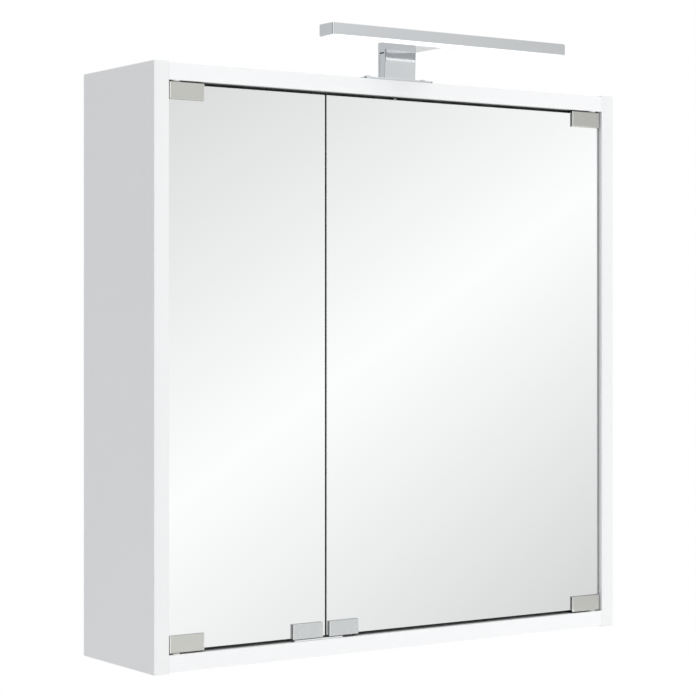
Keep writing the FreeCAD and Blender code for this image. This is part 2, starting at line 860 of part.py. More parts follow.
def lamp_arm():
    z_top = z_arm + arm_thickness
    reach = box(foot_xs, (y_bar, y_foot_back), (z_arm, z_top))
    root = box(foot_xs, (y_front, y_foot_back), (z_upright, z_top))
    body = joined(reach, [root]).cut(lean())
    lead_room = foot_wall * 2
    root_room = box((-lead_room, lead_room), (y_front + foot_wall, y_foot_back - edge_round),
                    (z_upright - 1, z_top - foot_wall))
    channel = box((-lead_room, lead_room), (y_bar - 1, y_foot_back - edge_round),
                  (z_arm + foot_wall, z_top - foot_wall))
    latches = []
    for side in (-1, 1):
        face = side * arm_width / 2
        latches.append(box((face, face - side * latch_depth),
                           (y_front + (arm_depth - latch_length) / 2, y_front + (arm_depth + latch_length) / 2),
                           (z_upright + latch_rise, z_upright + latch_rise + latch_height)))
    body = body.cut([root_room, channel, *latches, *arm_screws(fit_slack)])
    return body


bar_xs = (end_cap - lamp_length / 2, lamp_length / 2 - end_cap)
bar_ys = (y_bar - lamp_depth, y_bar)
bar_zs = (z_bar, z_bar + lamp_height)


def lamp_housing():
    body = box(bar_xs, bar_ys, bar_zs)
    body = rounded(body, edge_round, [edge for edge in body.Edges if straight(edge, along_x)])
    room = box((bar_xs[0] - 1, bar_xs[1] + 1), (bar_ys[0] + lamp_wall, bar_ys[1] - lamp_wall),
               (z_bar - 1, bar_zs[1] - lamp_wall))
    z = z_arm + arm_thickness / 2
    window = box((-foot_wall * 2, foot_wall * 2), (y_bar - lamp_wall - 1, y_bar + 1),
                 (z - lamp_lead_radius - 0.5, z + lamp_lead_radius + 0.5))
    return body.cut([room, window, *arm_screws(fit_slack)])


def end_caps():
    cap = box((-lamp_length / 2, bar_xs[0]), bar_ys, bar_zs)
    cap = rounded(cap, edge_round, [edge for edge in cap.Edges if straight(edge, along_x)])
    tongue = box((bar_xs[0], bar_xs[0] + 2 * end_cap),
                 (bar_ys[0] + lamp_wall + fit_slack, bar_ys[1] - lamp_wall - fit_slack),
                 (z_bar + diffuser_inset + diffuser + fit_slack, bar_zs[1] - lamp_wall - strip_thickness - 1))
    cap = joined(cap, [tongue])
    return [cap, flip(cap)]


def lamp_diffuser():
    body = box((bar_xs[0] + fit_slack, bar_xs[1] - fit_slack),
               (bar_ys[0] + lamp_wall + fit_slack, bar_ys[1] - lamp_wall - fit_slack),
               (z_bar + diffuser_inset, z_bar + diffuser_inset + diffuser))
    return body


strip_half = lamp_length / 2 - 4 * end_cap
z_strip = bar_zs[1] - lamp_wall - strip_thickness
y_strip = y_bar - lamp_depth / 2


def led_strip():
    return box((-strip_half, strip_half), (y_strip - strip_width / 2, y_strip + strip_width / 2),
               (z_strip, z_strip + strip_thickness))


def leds():
    chips = []
    pitch = 2 * strip_half / led_count
    for number in range(led_count):
        x = -strip_half + pitch * (number + 0.5)
        chips.append(box((x - led_length / 2, x + led_length / 2),
                         (y_strip - led_width / 2, y_strip + led_width / 2),
                         (z_strip - led_thickness, z_strip)))
    return chips


# Driver and leads under the top board


def driver_screws():
    screws = []
    x = driver_offset + driver_length / 2
    for side in (-1, 1):
        y = -driver_from_wall + side * (driver_width / 2 + ear_reach / 2)
        z = z_ceiling - ear_thickness - screw_head
        screws.append(screw((x, y, z_ceiling + screw_bite), (x, y, z)))
    return screws


def driver():
    xs = (driver_offset, driver_offset + driver_length)
    half = driver_width / 2
    body = box(xs, (-driver_from_wall - half, -driver_from_wall + half), (z_ceiling - driver_height, z_ceiling))
    body = rounded(body, driver_round, [edge for edge in body.Edges
                                        if not on_plane(edge, along_z, z_ceiling)])
    middle = driver_offset + driver_length / 2
    reach = half + ear_reach
    ears = box((middle - ear_length / 2, middle + ear_length / 2),
               (-driver_from_wall - reach, -driver_from_wall + reach), (z_ceiling - ear_thickness, z_ceiling))
    ears = rounded_along(ears, 3.0, along_z)
    return joined(body, [ears]).cut(upright_ways(driver_screws()))


def grommet(slack=0.0):
    outer = lead_hole_radius + slack
    body = rod(outer, (0, y_lead, z_ceiling), (0, y_lead, z_roof))
    if slack:
        return body
    flange = rod(grommet_flange_radius, (0, y_lead, z_ceiling - grommet_wall), (0, y_lead, z_ceiling))
    bore = rod(outer - grommet_wall, (0, y_lead, z_ceiling - grommet_wall - 1), (0, y_lead, z_roof + 1))
    return joined(body, [flange]).cut(bore)


def lead_clips():
    """Saddles that hold each lead to the top board."""
    clips = []
    x_supply = (driver_offset + driver_length + x_box - supply_bend) / 2
    places = (
        ((x_supply, -driver_from_wall), along_x, supply_lead_radius),
        ((0, (y_lead - driver_from_wall) / 2), along_y, lamp_lead_radius),
    )
    for (x, y), way, radius in places:
        half = radius + lead_clip_wall
        side = lead_clip_length / 2
        reach = (side, half) if way.x else (half, side)
        body = box((x - reach[0], x + reach[0]), (y - reach[1], y + reach[1]), (z_lead - half, z_ceiling))
        body = rounded(body, lead_clip_wall / 2, [edge for edge in body.Edges if straight(edge, way)
                                                  and on_plane(edge, along_z, z_lead - half)])
        centre = Vector(x, y, z_lead)
        hole = rod(radius + fit_slack, centre - way * lead_clip_length, centre + way * lead_clip_length)
        clips.append(body.cut(hole))
    return clips


def cable_outlet():
    x = x_in - outlet_side
    z = z_ceiling - outlet_drop
    outer = outlet_radius + outlet_wall
    body = rod(outer, (x, y_back - outlet_flange, z), (x, y_back + back_thickness + outlet_flange, z))
    flanges = [rod(outlet_flange_radius, (x, y, z), (x, y + outlet_flange, z))
               for y in (y_back - outlet_flange, y_back + back_thickness)]
    bore = rod(outlet_radius, (x, y_back - outlet_flange - 1, z), (x, 0, z))
    return joined(body, flanges).cut(bore)


# Boards


def back_panel(slack=0.0):
    reach = groove_depth - groove_slack + slack
    return box((-x_in - reach, x_in + reach), (y_back - slack / 4, y_back + back_thickness + slack / 4),
               (z_floor - reach, z_ceiling + reach))


def drilled_back():
    x = x_in - outlet_side
    z = z_ceiling - outlet_drop
    outlet = rod(outlet_radius + outlet_wall + fit_slack, (x, y_back - 1, z), (x, 0, z))
    return back_panel().cut([outlet, *hook_slots()])


def side_board():
    """The left side board, with every hole that both side boards share."""
    body = box((-x_in - board, -x_in), (y_front, 0), (z_base, z_crown))
    body = rounded(body, edge_round, [edge for edge in body.Edges if on_plane(edge, along_x, -width / 2)])
    return body.cut([back_panel(groove_slack), *dowels(fit_slack), *cam_bolts(fit_slack), *pin_holes(),
                     *screw_ways(hanger_screws())])


def right_side_board():
    pilots = [rod(screw_radius + fit_slack, (x_in, one.BoundBox.Center.y, one.BoundBox.Center.z),
                  (x_in + screw_bite, one.BoundBox.Center.y, one.BoundBox.Center.z)) for one in box_screws()]
    return flip(side_board()).cut(pilots)


def flat_board(z_low):
    return box((-x_in, x_in), (y_front, 0), (z_low, z_low + board))


def top_board():
    cutters = [back_panel(groove_slack), *dowels(fit_slack), *cam_bolts(fit_slack), *cam_seats(fit_slack),
               bush(fit_slack), flip(bush(fit_slack)), grommet(fit_slack), *upright_ways(foot_screws()),
               *upright_ways(driver_screws())]
    return flat_board(z_ceiling).cut(cutters)


def bottom_board():
    cutters = [back_panel(groove_slack), *dowels(fit_slack), *cam_bolts(fit_slack), *cam_seats(fit_slack),
               invert(bush(fit_slack)), invert(flip(bush(fit_slack))), *upright_ways(catch_screws())]
    return flat_board(z_floor - board).cut(cutters)


x_left_end = x_seam - seam_gap / 2
x_right_start = x_seam + seam_gap / 2
upper_hook = hook()

nodes = {
    "left_side_board": side_board(),
    "right_side_board": right_side_board(),
    "top_board": top_board(),
    "bottom_board": bottom_board(),
    "back_panel": drilled_back(),
    "dowels": group(dowels()),
    "cam_bolts": group(cam_bolts()),
    "cams": group(cams()),
    "hinge_bushes": group(four_corners(bush())),
    "lower_shelf": shelf(shelf_seats[0]),
    "upper_shelf": shelf(shelf_seats[1]),
    "shelf_pins": group(shelf_pins()),
    "hanger_bodies": group([hanger(), flip(hanger())]),
    "hanger_hooks": group([upper_hook, flip(upper_hook)]),
    "hanger_adjusters": group([*adjusters(), *[flip(one) for one in adjusters()]]),
    "hanger_screws": group([*hanger_screws(), *[flip(one) for one in hanger_screws()]]),
    "catch_plate": catch_base(),
    "catch_housing": catch_housing(),
    "catch_magnets": group(magnets()),
    "catch_screws": group(catch_screws()),
    "lamp_foot": lamp_foot(),
    "lamp_foot_screws": group(foot_screws()),
    "lamp_arm": lamp_arm(),
    "lamp_arm_screws": group(arm_screws()),
    "lamp_housing": lamp_housing(),
    "lamp_end_caps": group(end_caps()),
    "lamp_diffuser": lamp_diffuser(),
    "led_strip": led_strip(),
    "led_chips": group(leds()),
    "lamp_lead": lead(lamp_lead_radius, *lamp_lead_path()),
    "lead_grommet": grommet(),
    "lead_clips": group(lead_clips()),
    "led_driver": driver(),
    "led_driver_screws": group(driver_screws()),
    "supply_lead": lead(supply_lead_radius, *supply_path()),
    "switch_box_housing": box_housing(),
    "switch_box_cover": box_cover(),
    "switch_box_screws": group(box_screws()),
    "socket_insert": socket_insert(),
    "switch_rocker": rocker(),
    "mains_gland": gland(),
    "cable_outlet": cable_outlet(),
    "left_mirror": pane((-x_door, x_left_end)),
    "right_mirror": pane((x_right_start, x_door)),
}

for name, side in (("left", -1), ("right", 1)):
    placed = (lambda shape: shape) if side < 0 else flip
    nodes[f"{name}_top_hinge_clip"] = placed(hinge_clip())
    nodes[f"{name}_bottom_hinge_clip"] = invert(placed(hinge_clip()))
    nodes[f"{name}_clip_liners"] = group([*both_ends(placed(hinge_liner())), grip_liner(side)])
    nodes[f"{name}_pressure_plates"] = group(both_ends(placed(pressure_pad())))
    hinge_clamps = [one for part in clamp_screws() for one in both_ends(placed(part))]
    nodes[f"{name}_clamp_screws"] = group([*hinge_clamps, grip_screw(side)])
    nodes[f"{name}_pivot_pins"] = group(both_ends(placed(pivot_pin())))
    nodes[f"{name}_grip_clip"] = grip_clip(side)
    nodes[f"{name}_strike_plate"] = strike_plate(side)

os.makedirs("parts", exist_ok=True)
for name, shape in nodes.items():
    shape.exportStep(f"parts/{name}.step")
print(f"{len(nodes)} nodes")
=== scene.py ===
import bpy
import json
import math
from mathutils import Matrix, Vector


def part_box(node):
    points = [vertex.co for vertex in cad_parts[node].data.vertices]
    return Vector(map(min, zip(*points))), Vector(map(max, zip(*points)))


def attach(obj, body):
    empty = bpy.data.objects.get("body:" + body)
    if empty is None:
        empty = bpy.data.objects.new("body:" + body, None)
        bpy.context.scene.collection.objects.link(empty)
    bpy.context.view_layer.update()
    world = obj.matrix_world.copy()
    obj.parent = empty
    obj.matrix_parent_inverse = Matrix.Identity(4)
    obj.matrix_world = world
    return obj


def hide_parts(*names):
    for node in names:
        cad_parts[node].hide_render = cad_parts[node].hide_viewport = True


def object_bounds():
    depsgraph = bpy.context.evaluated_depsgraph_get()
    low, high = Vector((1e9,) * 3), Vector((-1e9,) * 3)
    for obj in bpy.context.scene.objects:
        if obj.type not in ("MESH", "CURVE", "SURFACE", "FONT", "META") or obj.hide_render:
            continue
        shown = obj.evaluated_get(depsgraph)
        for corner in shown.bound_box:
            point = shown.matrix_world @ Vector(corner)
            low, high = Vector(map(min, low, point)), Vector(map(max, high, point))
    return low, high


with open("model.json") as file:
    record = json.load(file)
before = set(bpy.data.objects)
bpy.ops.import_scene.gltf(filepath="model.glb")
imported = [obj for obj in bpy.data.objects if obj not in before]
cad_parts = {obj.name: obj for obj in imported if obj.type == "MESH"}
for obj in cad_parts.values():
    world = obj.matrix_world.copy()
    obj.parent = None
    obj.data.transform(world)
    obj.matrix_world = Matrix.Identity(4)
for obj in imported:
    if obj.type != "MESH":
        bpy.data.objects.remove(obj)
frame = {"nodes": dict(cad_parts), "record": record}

# Wall cabinet with two clamped mirror doors and an LED lamp. Metres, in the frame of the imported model:
# +X is right as seen from the front, +Y points into the wall, +Z is up, and the doors face -Y.

cadBounds = [list(corner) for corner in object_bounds()]
mm = 0.001
past = 1 * mm  # how far a cutter runs past the face it opens
nodes = frame["nodes"]
alongX, alongY, alongZ = Vector((1, 0, 0)), Vector((0, 1, 0)), Vector((0, 0, 1))


# Camera

cameraPlace = {
    "position": (-1.30573, -1.94921, -0.24691),
    "turn": 34.513,  # degrees to the right of the wall's normal, looking level
    "lens": 107.978,
    "shiftUp": -0.0393,
}


def addCamera(place):
    data = bpy.data.cameras.new("camera")
    data.lens = place["lens"]
    data.sensor_width = 36
    data.shift_y = place["shiftUp"]
    data.clip_start = 0.05
    data.clip_end = 60
    camera = bpy.data.objects.new("camera", data)
    bpy.context.scene.collection.objects.link(camera)
    camera.location = place["position"]
    camera.rotation_euler = (math.radians(90), 0, -math.radians(place["turn"]))
    bpy.context.scene.camera = camera


addCamera(cameraPlace)
bpy.context.scene.view_settings.view_transform = "Standard"
print("camera placed")


# Modelling helpers

def deselectAll():
    if bpy.context.object and bpy.context.object.mode != "OBJECT":
        bpy.ops.object.mode_set(mode="OBJECT")
    bpy.ops.object.select_all(action="DESELECT")


def activate(piece):
    deselectAll()
    piece.select_set(True)
    bpy.context.view_layer.objects.active = piece


def settle(piece):  # puts the piece's place, turn and size into its mesh
    activate(piece)
    bpy.ops.object.transform_apply(location=True, rotation=True, scale=True)


def startBox(name, low, high):
    deselectAll()
    centre = [(a + b) / 2 for a, b in zip(low, high)]
    bpy.ops.mesh.primitive_cube_add(size=1, location=centre)
    piece = bpy.context.object
    piece.name = name
    piece.scale = [abs(b - a) for a, b in zip(low, high)]
    settle(piece)
    return piece


def startRod(name, radius, start, end, sides=48):
    deselectAll()
    span = Vector(end) - Vector(start)
    bpy.ops.mesh.primitive_cylinder_add(
        vertices=sides, radius=radius, depth=span.length, location=(Vector(start) + Vector(end)) / 2,
        rotation=span.to_track_quat("Z", "Y").to_euler())
    piece = bpy.context.object
    piece.name = name
    settle(piece)
    return piece


def rodAlong(axis, radius, centre, start, end, sides=48, name="bore"):  # a rod through a centre, along an axis
    ends = [Vector(centre), Vector(centre)]
    for spot, value in zip(ends, (start, end)):
        setattr(spot, axis, value)
    return startRod(name, radius, *ends, sides)


def choose(piece, kind, test):
    # Selects faces by centre and normal, edges by their two ends, or vertices by place, and opens edit mode.
    activate(piece)
    mesh = piece.data
    for parts in (mesh.vertices, mesh.edges, mesh.polygons):
        parts.foreach_set("select", [False] * len(parts))
    points = [vertex.co.copy() for vertex in mesh.vertices]
    if kind == "FACE":
        for face in mesh.polygons:
            face.select = bool(test(face.center, face.normal))
    elif kind == "EDGE":
        for edge in mesh.edges:
            edge.select = bool(test(points[edge.vertices[0]], points[edge.vertices[1]]))
    else:
        for vertex in mesh.vertices:
            vertex.select = bool(test(vertex.co))
    bpy.context.tool_settings.mesh_select_mode = (kind == "VERT", kind == "EDGE", kind == "FACE")
    bpy.ops.object.mode_set(mode="EDIT")


def closeEdit():
    bpy.ops.object.mode_set(mode="OBJECT")


def near(a, b, slack=0.00002):
    return abs(a - b) < slack


def edgesAlong(axis):  # edges whose two ends differ along the axis
    return lambda a, b: not near(getattr(a, axis), getattr(b, axis))


def edgesAt(axis, place):  # edges that lie in one plane across the axis
    return lambda a, b: near(getattr(a, axis), place) and near(getattr(b, axis), place)


def bevelEdges(piece, width, steps, test):
    choose(piece, "EDGE", test)
    bpy.ops.mesh.bevel(offset=width, segments=steps, profile=0.5, affect="EDGES", clamp_overlap=True)
    closeEdit()


def easeEdges(piece, width, steps=2, angle=30):  # a small round on every edge sharper than the angle
    activate(piece)
    ease = piece.modifiers.new("ease", "BEVEL")
    ease.width = width
    ease.segments = steps
    ease.limit_method = "ANGLE"
    ease.angle_limit = math.radians(angle)
    ease.harden_normals = False
    bpy.ops.object.modifier_apply(modifier="ease")


def splitAt(piece, place, normal):
    choose(piece, "FACE", lambda centre, way: True)
    bpy.ops.mesh.bisect(plane_co=place, plane_no=normal)
    closeEdit()


def pull(piece, test, move):  # extrudes the chosen faces by a move
    choose(piece, "FACE", test)
    bpy.ops.mesh.extrude_region_move(TRANSFORM_OT_translate={"value": move})
    closeEdit()


def carve(piece, cutters):
    for cutter in cutters:
        activate(piece)
        cut = piece.modifiers.new("cut", "BOOLEAN")
        cut.operation = "DIFFERENCE"
        cut.solver = "EXACT"
        cut.object = cutter
        bpy.ops.object.modifier_apply(modifier="cut")
        bpy.data.objects.remove(cutter)


def joinPieces(pieces, name):
    activate(pieces[0])
    for piece in pieces:
        piece.select_set(True)
    bpy.ops.object.join()
    pieces[0].name = name
    return pieces[0]


def copyPiece(piece, name, scale=(1, 1, 1), centre=(0, 0, 0), shift=(0, 0, 0)):
    # A copy with its own mesh, moved or turned over about a centre.
    mesh = piece.data.copy()
    for vertex in mesh.vertices:
        vertex.co = Vector([
            c + (v - c) * s + m for v, c, s, m in zip(vertex.co, centre, scale, shift)])
    copy = bpy.data.objects.new(name, mesh)
    bpy.context.scene.collection.objects.link(copy)
    return copy


def tidyMesh(piece, smoothAngle=35):
    choose(piece, "FACE", lambda centre, way: True)
    bpy.ops.mesh.remove_doubles(threshold=0.000001)
    bpy.ops.mesh.normals_make_consistent(inside=False)
    closeEdit()
    if piece.data.has_custom_normals:
        bpy.ops.mesh.customdata_custom_splitnormals_clear()
    bpy.ops.object.shade_smooth_by_angle(angle=math.radians(smoothAngle))
    flatten = piece.modifiers.new("flatten", "WEIGHTED_NORMAL")  # keeps large faces flat beside their rounds
    flatten.weight = 100
    flatten.keep_sharp = True
    bpy.ops.object.modifier_apply(modifier="flatten")


def paint(piece, names, rules=()):
    # The first finish everywhere, and each further one on the faces that its rule picks.
    piece.data.materials.clear()
    for name in names:
        piece.data.materials.append(finishes[name])
    for face in piece.data.polygons:
        face.material_index = 0
        for number, rule in enumerate(rules, 1):
            if rule(face.center, face.normal):
                face.material_index = number


def standIn(piece, body, replaced):
    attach(piece, body)
    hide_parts(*replaced)


def complete(piece, node, names, rules=(), body="cabinet", smoothAngle=35):
    tidyMesh(piece, smoothAngle)
    paint(piece, names, rules)
    standIn(piece, body, [node])


def islands(name):
    # The box of each separate solid in a grouped CAD node.
    mesh = nodes[name].data
    keys = [tuple(round(c, 6) for c in vertex.co) for vertex in mesh.vertices]
    leader = {key: key for key in keys}

    def find(key):
        while leader[key] != key:
            leader[key] = leader[leader[key]]
            key = leader[key]
        return key

    for face in mesh.polygons:
        first = find(keys[face.vertices[0]])
        for number in face.vertices[1:]:
            leader[find(keys[number])] = first
    groups = {}
    for key in set(keys):
        groups.setdefault(find(key), []).append(key)
    boxes = []
    for points in groups.values():
        low = Vector([min(point[i] for point in points) for i in range(3)])
        high = Vector([max(point[i] for point in points) for i in range(3)])
        boxes.append((low, high))
    return sorted(boxes, key=lambda pair: tuple(round(c, 4) for c in pair[0]))


# Materials

def linear(colour):  # sRGB hex to linear
    channels = [int(colour[i:i + 2], 16) / 255 for i in (1, 3, 5)]
    return (*[c / 12.92 if c <= 0.04045 else ((c + 0.055) / 1.055) ** 2.4 for c in channels], 1)


def addNode(tree, kind, settings=None, links=None):
    node = tree.nodes.new(kind)
    for key, value in (settings or {}).items():
        if isinstance(key, int) or key in node.inputs:
            node.inputs[key].default_value = value
        else:
            setattr(node, key, value)
    for key, socket in (links or {}).items():
        tree.links.new(socket, node.inputs[key])
    return node


def startMaterial(name, settings):
    material = bpy.data.materials.new(name)
    material.use_nodes = True
    tree = material.node_tree
    tree.nodes.clear()
    shader = addNode(tree, "ShaderNodeBsdfPrincipled", settings)
    addNode(tree, "ShaderNodeOutputMaterial", links={"Surface": shader.outputs[0]})
    return material, tree, shader


def surface(name, first, second, driftSize, grainSize, relief, glossy, matt, extras=None):
    # A moulded, plated, sprayed or pressed surface: broad colour drift, and fine grain in gloss and relief.
    extras = extras or {}
    settings = {"Metallic": extras.get("metallic", 0.0), "IOR": extras.get("ior", 1.5), **extras.get("shader", {})}
    material, tree, shader = startMaterial(name, settings)
    coordinates = addNode(tree, "ShaderNodeTexCoord")
    mapping = addNode(tree, "ShaderNodeMapping", {"Scale": extras.get("stretch", (1, 1, 1))},
                      {"Vector": coordinates.outputs["Object"]})
    broad = addNode(tree, "ShaderNodeTexNoise", {"Scale": 1 / (driftSize * mm), "Detail": 3.0},
                    {"Vector": coordinates.outputs["Object"]})
    fine = addNode(tree, "ShaderNodeTexNoise", {"Scale": 1 / (grainSize * mm), "Detail": 2.0, "Roughness": 0.55},
                   {"Vector": mapping.outputs["Vector"]})
    drift = addNode(tree, "ShaderNodeMix", {"data_type": "RGBA"}, {0: broad.outputs["Fac"]})
    drift.inputs[6].default_value = linear(first)
    drift.inputs[7].default_value = linear(second)
    mixed = addNode(tree, "ShaderNodeMath", {"operation": "ADD"}, {0: broad.outputs["Fac"], 1: fine.outputs["Fac"]})
    gloss = addNode(tree, "ShaderNodeMapRange", {
        "From Min": 0.7, "From Max": 1.3, "To Min": glossy, "To Max": matt},
        {"Value": mixed.outputs[0]})
    bump = addNode(tree, "ShaderNodeBump", {"Strength": 0.5, "Distance": relief * mm},
                   {"Height": fine.outputs["Fac"]})
    tree.links.new(drift.outputs[2], shader.inputs["Base Color"])
    tree.links.new(gloss.outputs[0], shader.inputs["Roughness"])
    tree.links.new(bump.outputs[0], shader.inputs["Normal"])
    return material


# Each row: two colours, the drift and grain sizes and the relief in millimetres, the least and greatest roughness,
# and whatever else the surface has.
surfaces = {
    # Chipboard in white melamine foil, pressed between fine-textured plates: even, with a soft low sheen.
    "pressedWhiteFoil": ("#EFF0F1", "#F3F4F4", 90, 1.1, 0.012, 0.40, 0.50),
    # White lacquer rolled on hardboard, flat and a little thinner in colour than the foil.
    "rolledWhiteLacquer": ("#E9EAE9", "#EFF0EF", 60, 2.2, 0.02, 0.42, 0.55),
    # Grey paint sprayed over the silvering: a matt film with a faint orange peel.
    "sprayedBackingPaint": ("#6F7675", "#787F7E", 45, 1.4, 0.03, 0.55, 0.7),
    # Chamfer ground on the glass with a fine stone: pale, matt and slightly green.
    "groundGlassChamfer": ("#F1F6F4", "#F9FBFA", 12, 0.3, 0.01, 0.3, 0.45, {"ior": 1.52}),
    # Silvered glass seen from its polished side: deep green-black, because little light gets behind it.
    "polishedMirrorEdge": ("#2C3633", "#38433F", 15, 0.5, 0.004, 0.16, 0.26, {"ior": 1.52}),
    # Die-cast zinc, brushed and satin nickel plated: a warm grey that blurs what it reflects along the strokes.
    "satinNickelPlate": ("#C3C4BE", "#C7C8C3", 30, 0.3, 0.0006, 0.28, 0.31,
        {"metallic": 1.0, "stretch": (0.04, 1, 1)}),
    # The same plating on pressed sheet, a little cooler and brighter.
    "satinNickelSheet": ("#C8CBCB", "#CBCECE", 30, 0.3, 0.0004, 0.26, 0.28,
        {"metallic": 1.0, "stretch": (0.04, 1, 1)}),
    # The narrow rounds round those faces, painted bright: a painted highlight.
    "nickelRoundPaintedHighlight": ("#F2F2EF", "#F6F6F4", 30, 0.5, 0.0004, 0.12, 0.16, {"metallic": 1.0}),
    # The same on the lamp: rounds painted bright, a painted highlight.
    "chromeRoundPaintedHighlight": ("#F1F3F5", "#F5F6F8", 120, 6, 0.0002, 0.04, 0.07, {"metallic": 1.0}),
    # Edges of the casting, painted near black: painted shade.
    "nickelEdgePaintedShade": ("#2B2B2A", "#343433", 6, 0.4, 0.004, 0.34, 0.46, {"metallic": 1.0}),
    # Sheared edge of the pressed sheet under the same plating, painted mid grey: painted shade.
    "sheetEdgePaintedShade": ("#7E807F", "#8C8E8D", 6, 0.4, 0.004, 0.34, 0.46, {"metallic": 1.0}),
    # Polished bright chrome plate on an aluminium and steel lamp body.
    "brightChromePlate": ("#CFD2D4", "#D4D6D8", 120, 6, 0.0004, 0.05, 0.10, {"metallic": 1.0}),
    # Zinc-plated, blue-passivated steel: a cool grey with a fine crystalline drift.
    "passivatedZincSteel": ("#B3B8BE", "#C6CACD", 2.5, 0.5, 0.006, 0.28, 0.42, {"metallic": 1.0}),
    # The catch's base: zinc-plated steel strip, painted satin white, brighter than the other zinc-plated steel:
    # painted light.
    "zincStripPaintedLight": ("#F1F3F4", "#F7F8F8", 8, 0.4, 0.003, 0.42, 0.5, {"metallic": 1.0}),
    # Raw die-cast zinc: dull grey, a little pitted.
    "dieCastZinc": ("#9B9D9E", "#AEB0B0", 4, 0.6, 0.02, 0.42, 0.58, {"metallic": 1.0}),
    # White nylon 6, injection moulded with a spark-eroded finish: slightly waxy.
    "mouldedNylon": ("#EDEDE9", "#F1F1EE", 20, 0.45, 0.012, 0.36, 0.48,
        {"ior": 1.53, "shader": {"Subsurface Weight": 0.08, "Subsurface Radius": (0.002, 0.002, 0.002)}}),
    # White ABS, injection moulded in a fine-grained tool: an even satin.
    "mouldedWhiteAbs": ("#EBECEC", "#F0F1F1", 35, 0.6, 0.01, 0.32, 0.42, {"ior": 1.54}),
    # Grey EPDM rubber, moulded: dark, matt and slightly bloomed.
    "mouldedGreyRubber": ("#56585A", "#636567", 6, 0.5, 0.02, 0.62, 0.78),
    # Extruded white PVC cable sheath: a soft sheen with faint draw lines.
    "extrudedPvcSheath": ("#ECEDEC", "#F1F2F1", 15, 0.8, 0.01, 0.34, 0.44, {"ior": 1.53}),
    # Sintered ferrite, ground on its pole faces: charcoal grey with a slight metallic glint.
    "groundFerrite": ("#37383A", "#434446", 3, 0.25, 0.012, 0.4, 0.55, {"ior": 2.2}),
    # Polypropylene shelf liner, clear and slightly hazy.
    "clearPolypropylene": ("#E6EAEA", "#EEF1F1", 10, 0.5, 0.008, 0.22, 0.32,
        {"shader": {"Transmission Weight": 0.55}}),
    # White solder mask over glass-fibre board, flat and glossy.
    "whiteSolderMask": ("#F0F1EE", "#F4F5F3", 8, 0.4, 0.006, 0.25, 0.35),
    # Silicone with yellow phosphor, poured into the LED's cup.
    "pouredPhosphor": ("#F2E08A", "#F6E8A0", 1.5, 0.2, 0.006, 0.3, 0.4,
        {"shader": {"Emission Color": linear("#FFF6DC"), "Emission Strength": 2.0}}),
    # Opal acrylic, extruded with a matt face: milky, and lit from behind by the LEDs.
    "extrudedOpalAcrylic": ("#F8F9FA", "#FCFCFC", 30, 0.5, 0.004, 0.3, 0.4,
        {"ior": 1.49, "shader": {"Emission Color": linear("#FDFCF8"), "Emission Strength": 0.8}}),
    # The same tape on the top and bottom boards, painted brighter than on the side boards: painted light.
    "edgingTapePaintedLight": ("#F6F7F7", "#F8F8F9", 120, 1.6, 0.006, 0.36, 0.44, {"ior": 1.54}),
    # White ABS edging tape, extruded and glued along the side boards' edges: smoother than the foil.
    "extrudedEdgingTape": ("#F0F1F1", "#F3F4F4", 120, 1.6, 0.006, 0.36, 0.44, {"ior": 1.54}),
    # The shelf's polished edge, where the light that runs inside the pane comes out bottle green.
    "polishedGlassEdge": ("#8FBFAD", "#A6CFC0", 18, 0.8, 0.003, 0.08, 0.16,
        {"ior": 1.52, "shader": {"Transmission Weight": 0.35}}),
}
finishes = {name: surface(name, *row) for name, row in surfaces.items()}


def glass(name, settings, wipeSize, glossy, matt):  # its gloss drifts as if wiped by hand
    material, tree, shader = startMaterial(name, settings)
    coordinates = addNode(tree, "ShaderNodeTexCoord")
    wipe = addNode(tree, "ShaderNodeTexNoise", {"Scale": 1 / (wipeSize * mm), "Detail": 2.0},
                   {"Vector": coordinates.outputs["Object"]})
    gloss = addNode(tree, "ShaderNodeMapRange", {"From Min": 0.3, "From Max": 0.7, "To Min": glossy, "To Max": matt},
                    {"Value": wipe.outputs["Fac"]})
    tree.links.new(gloss.outputs[0], shader.inputs["Roughness"])
    return material


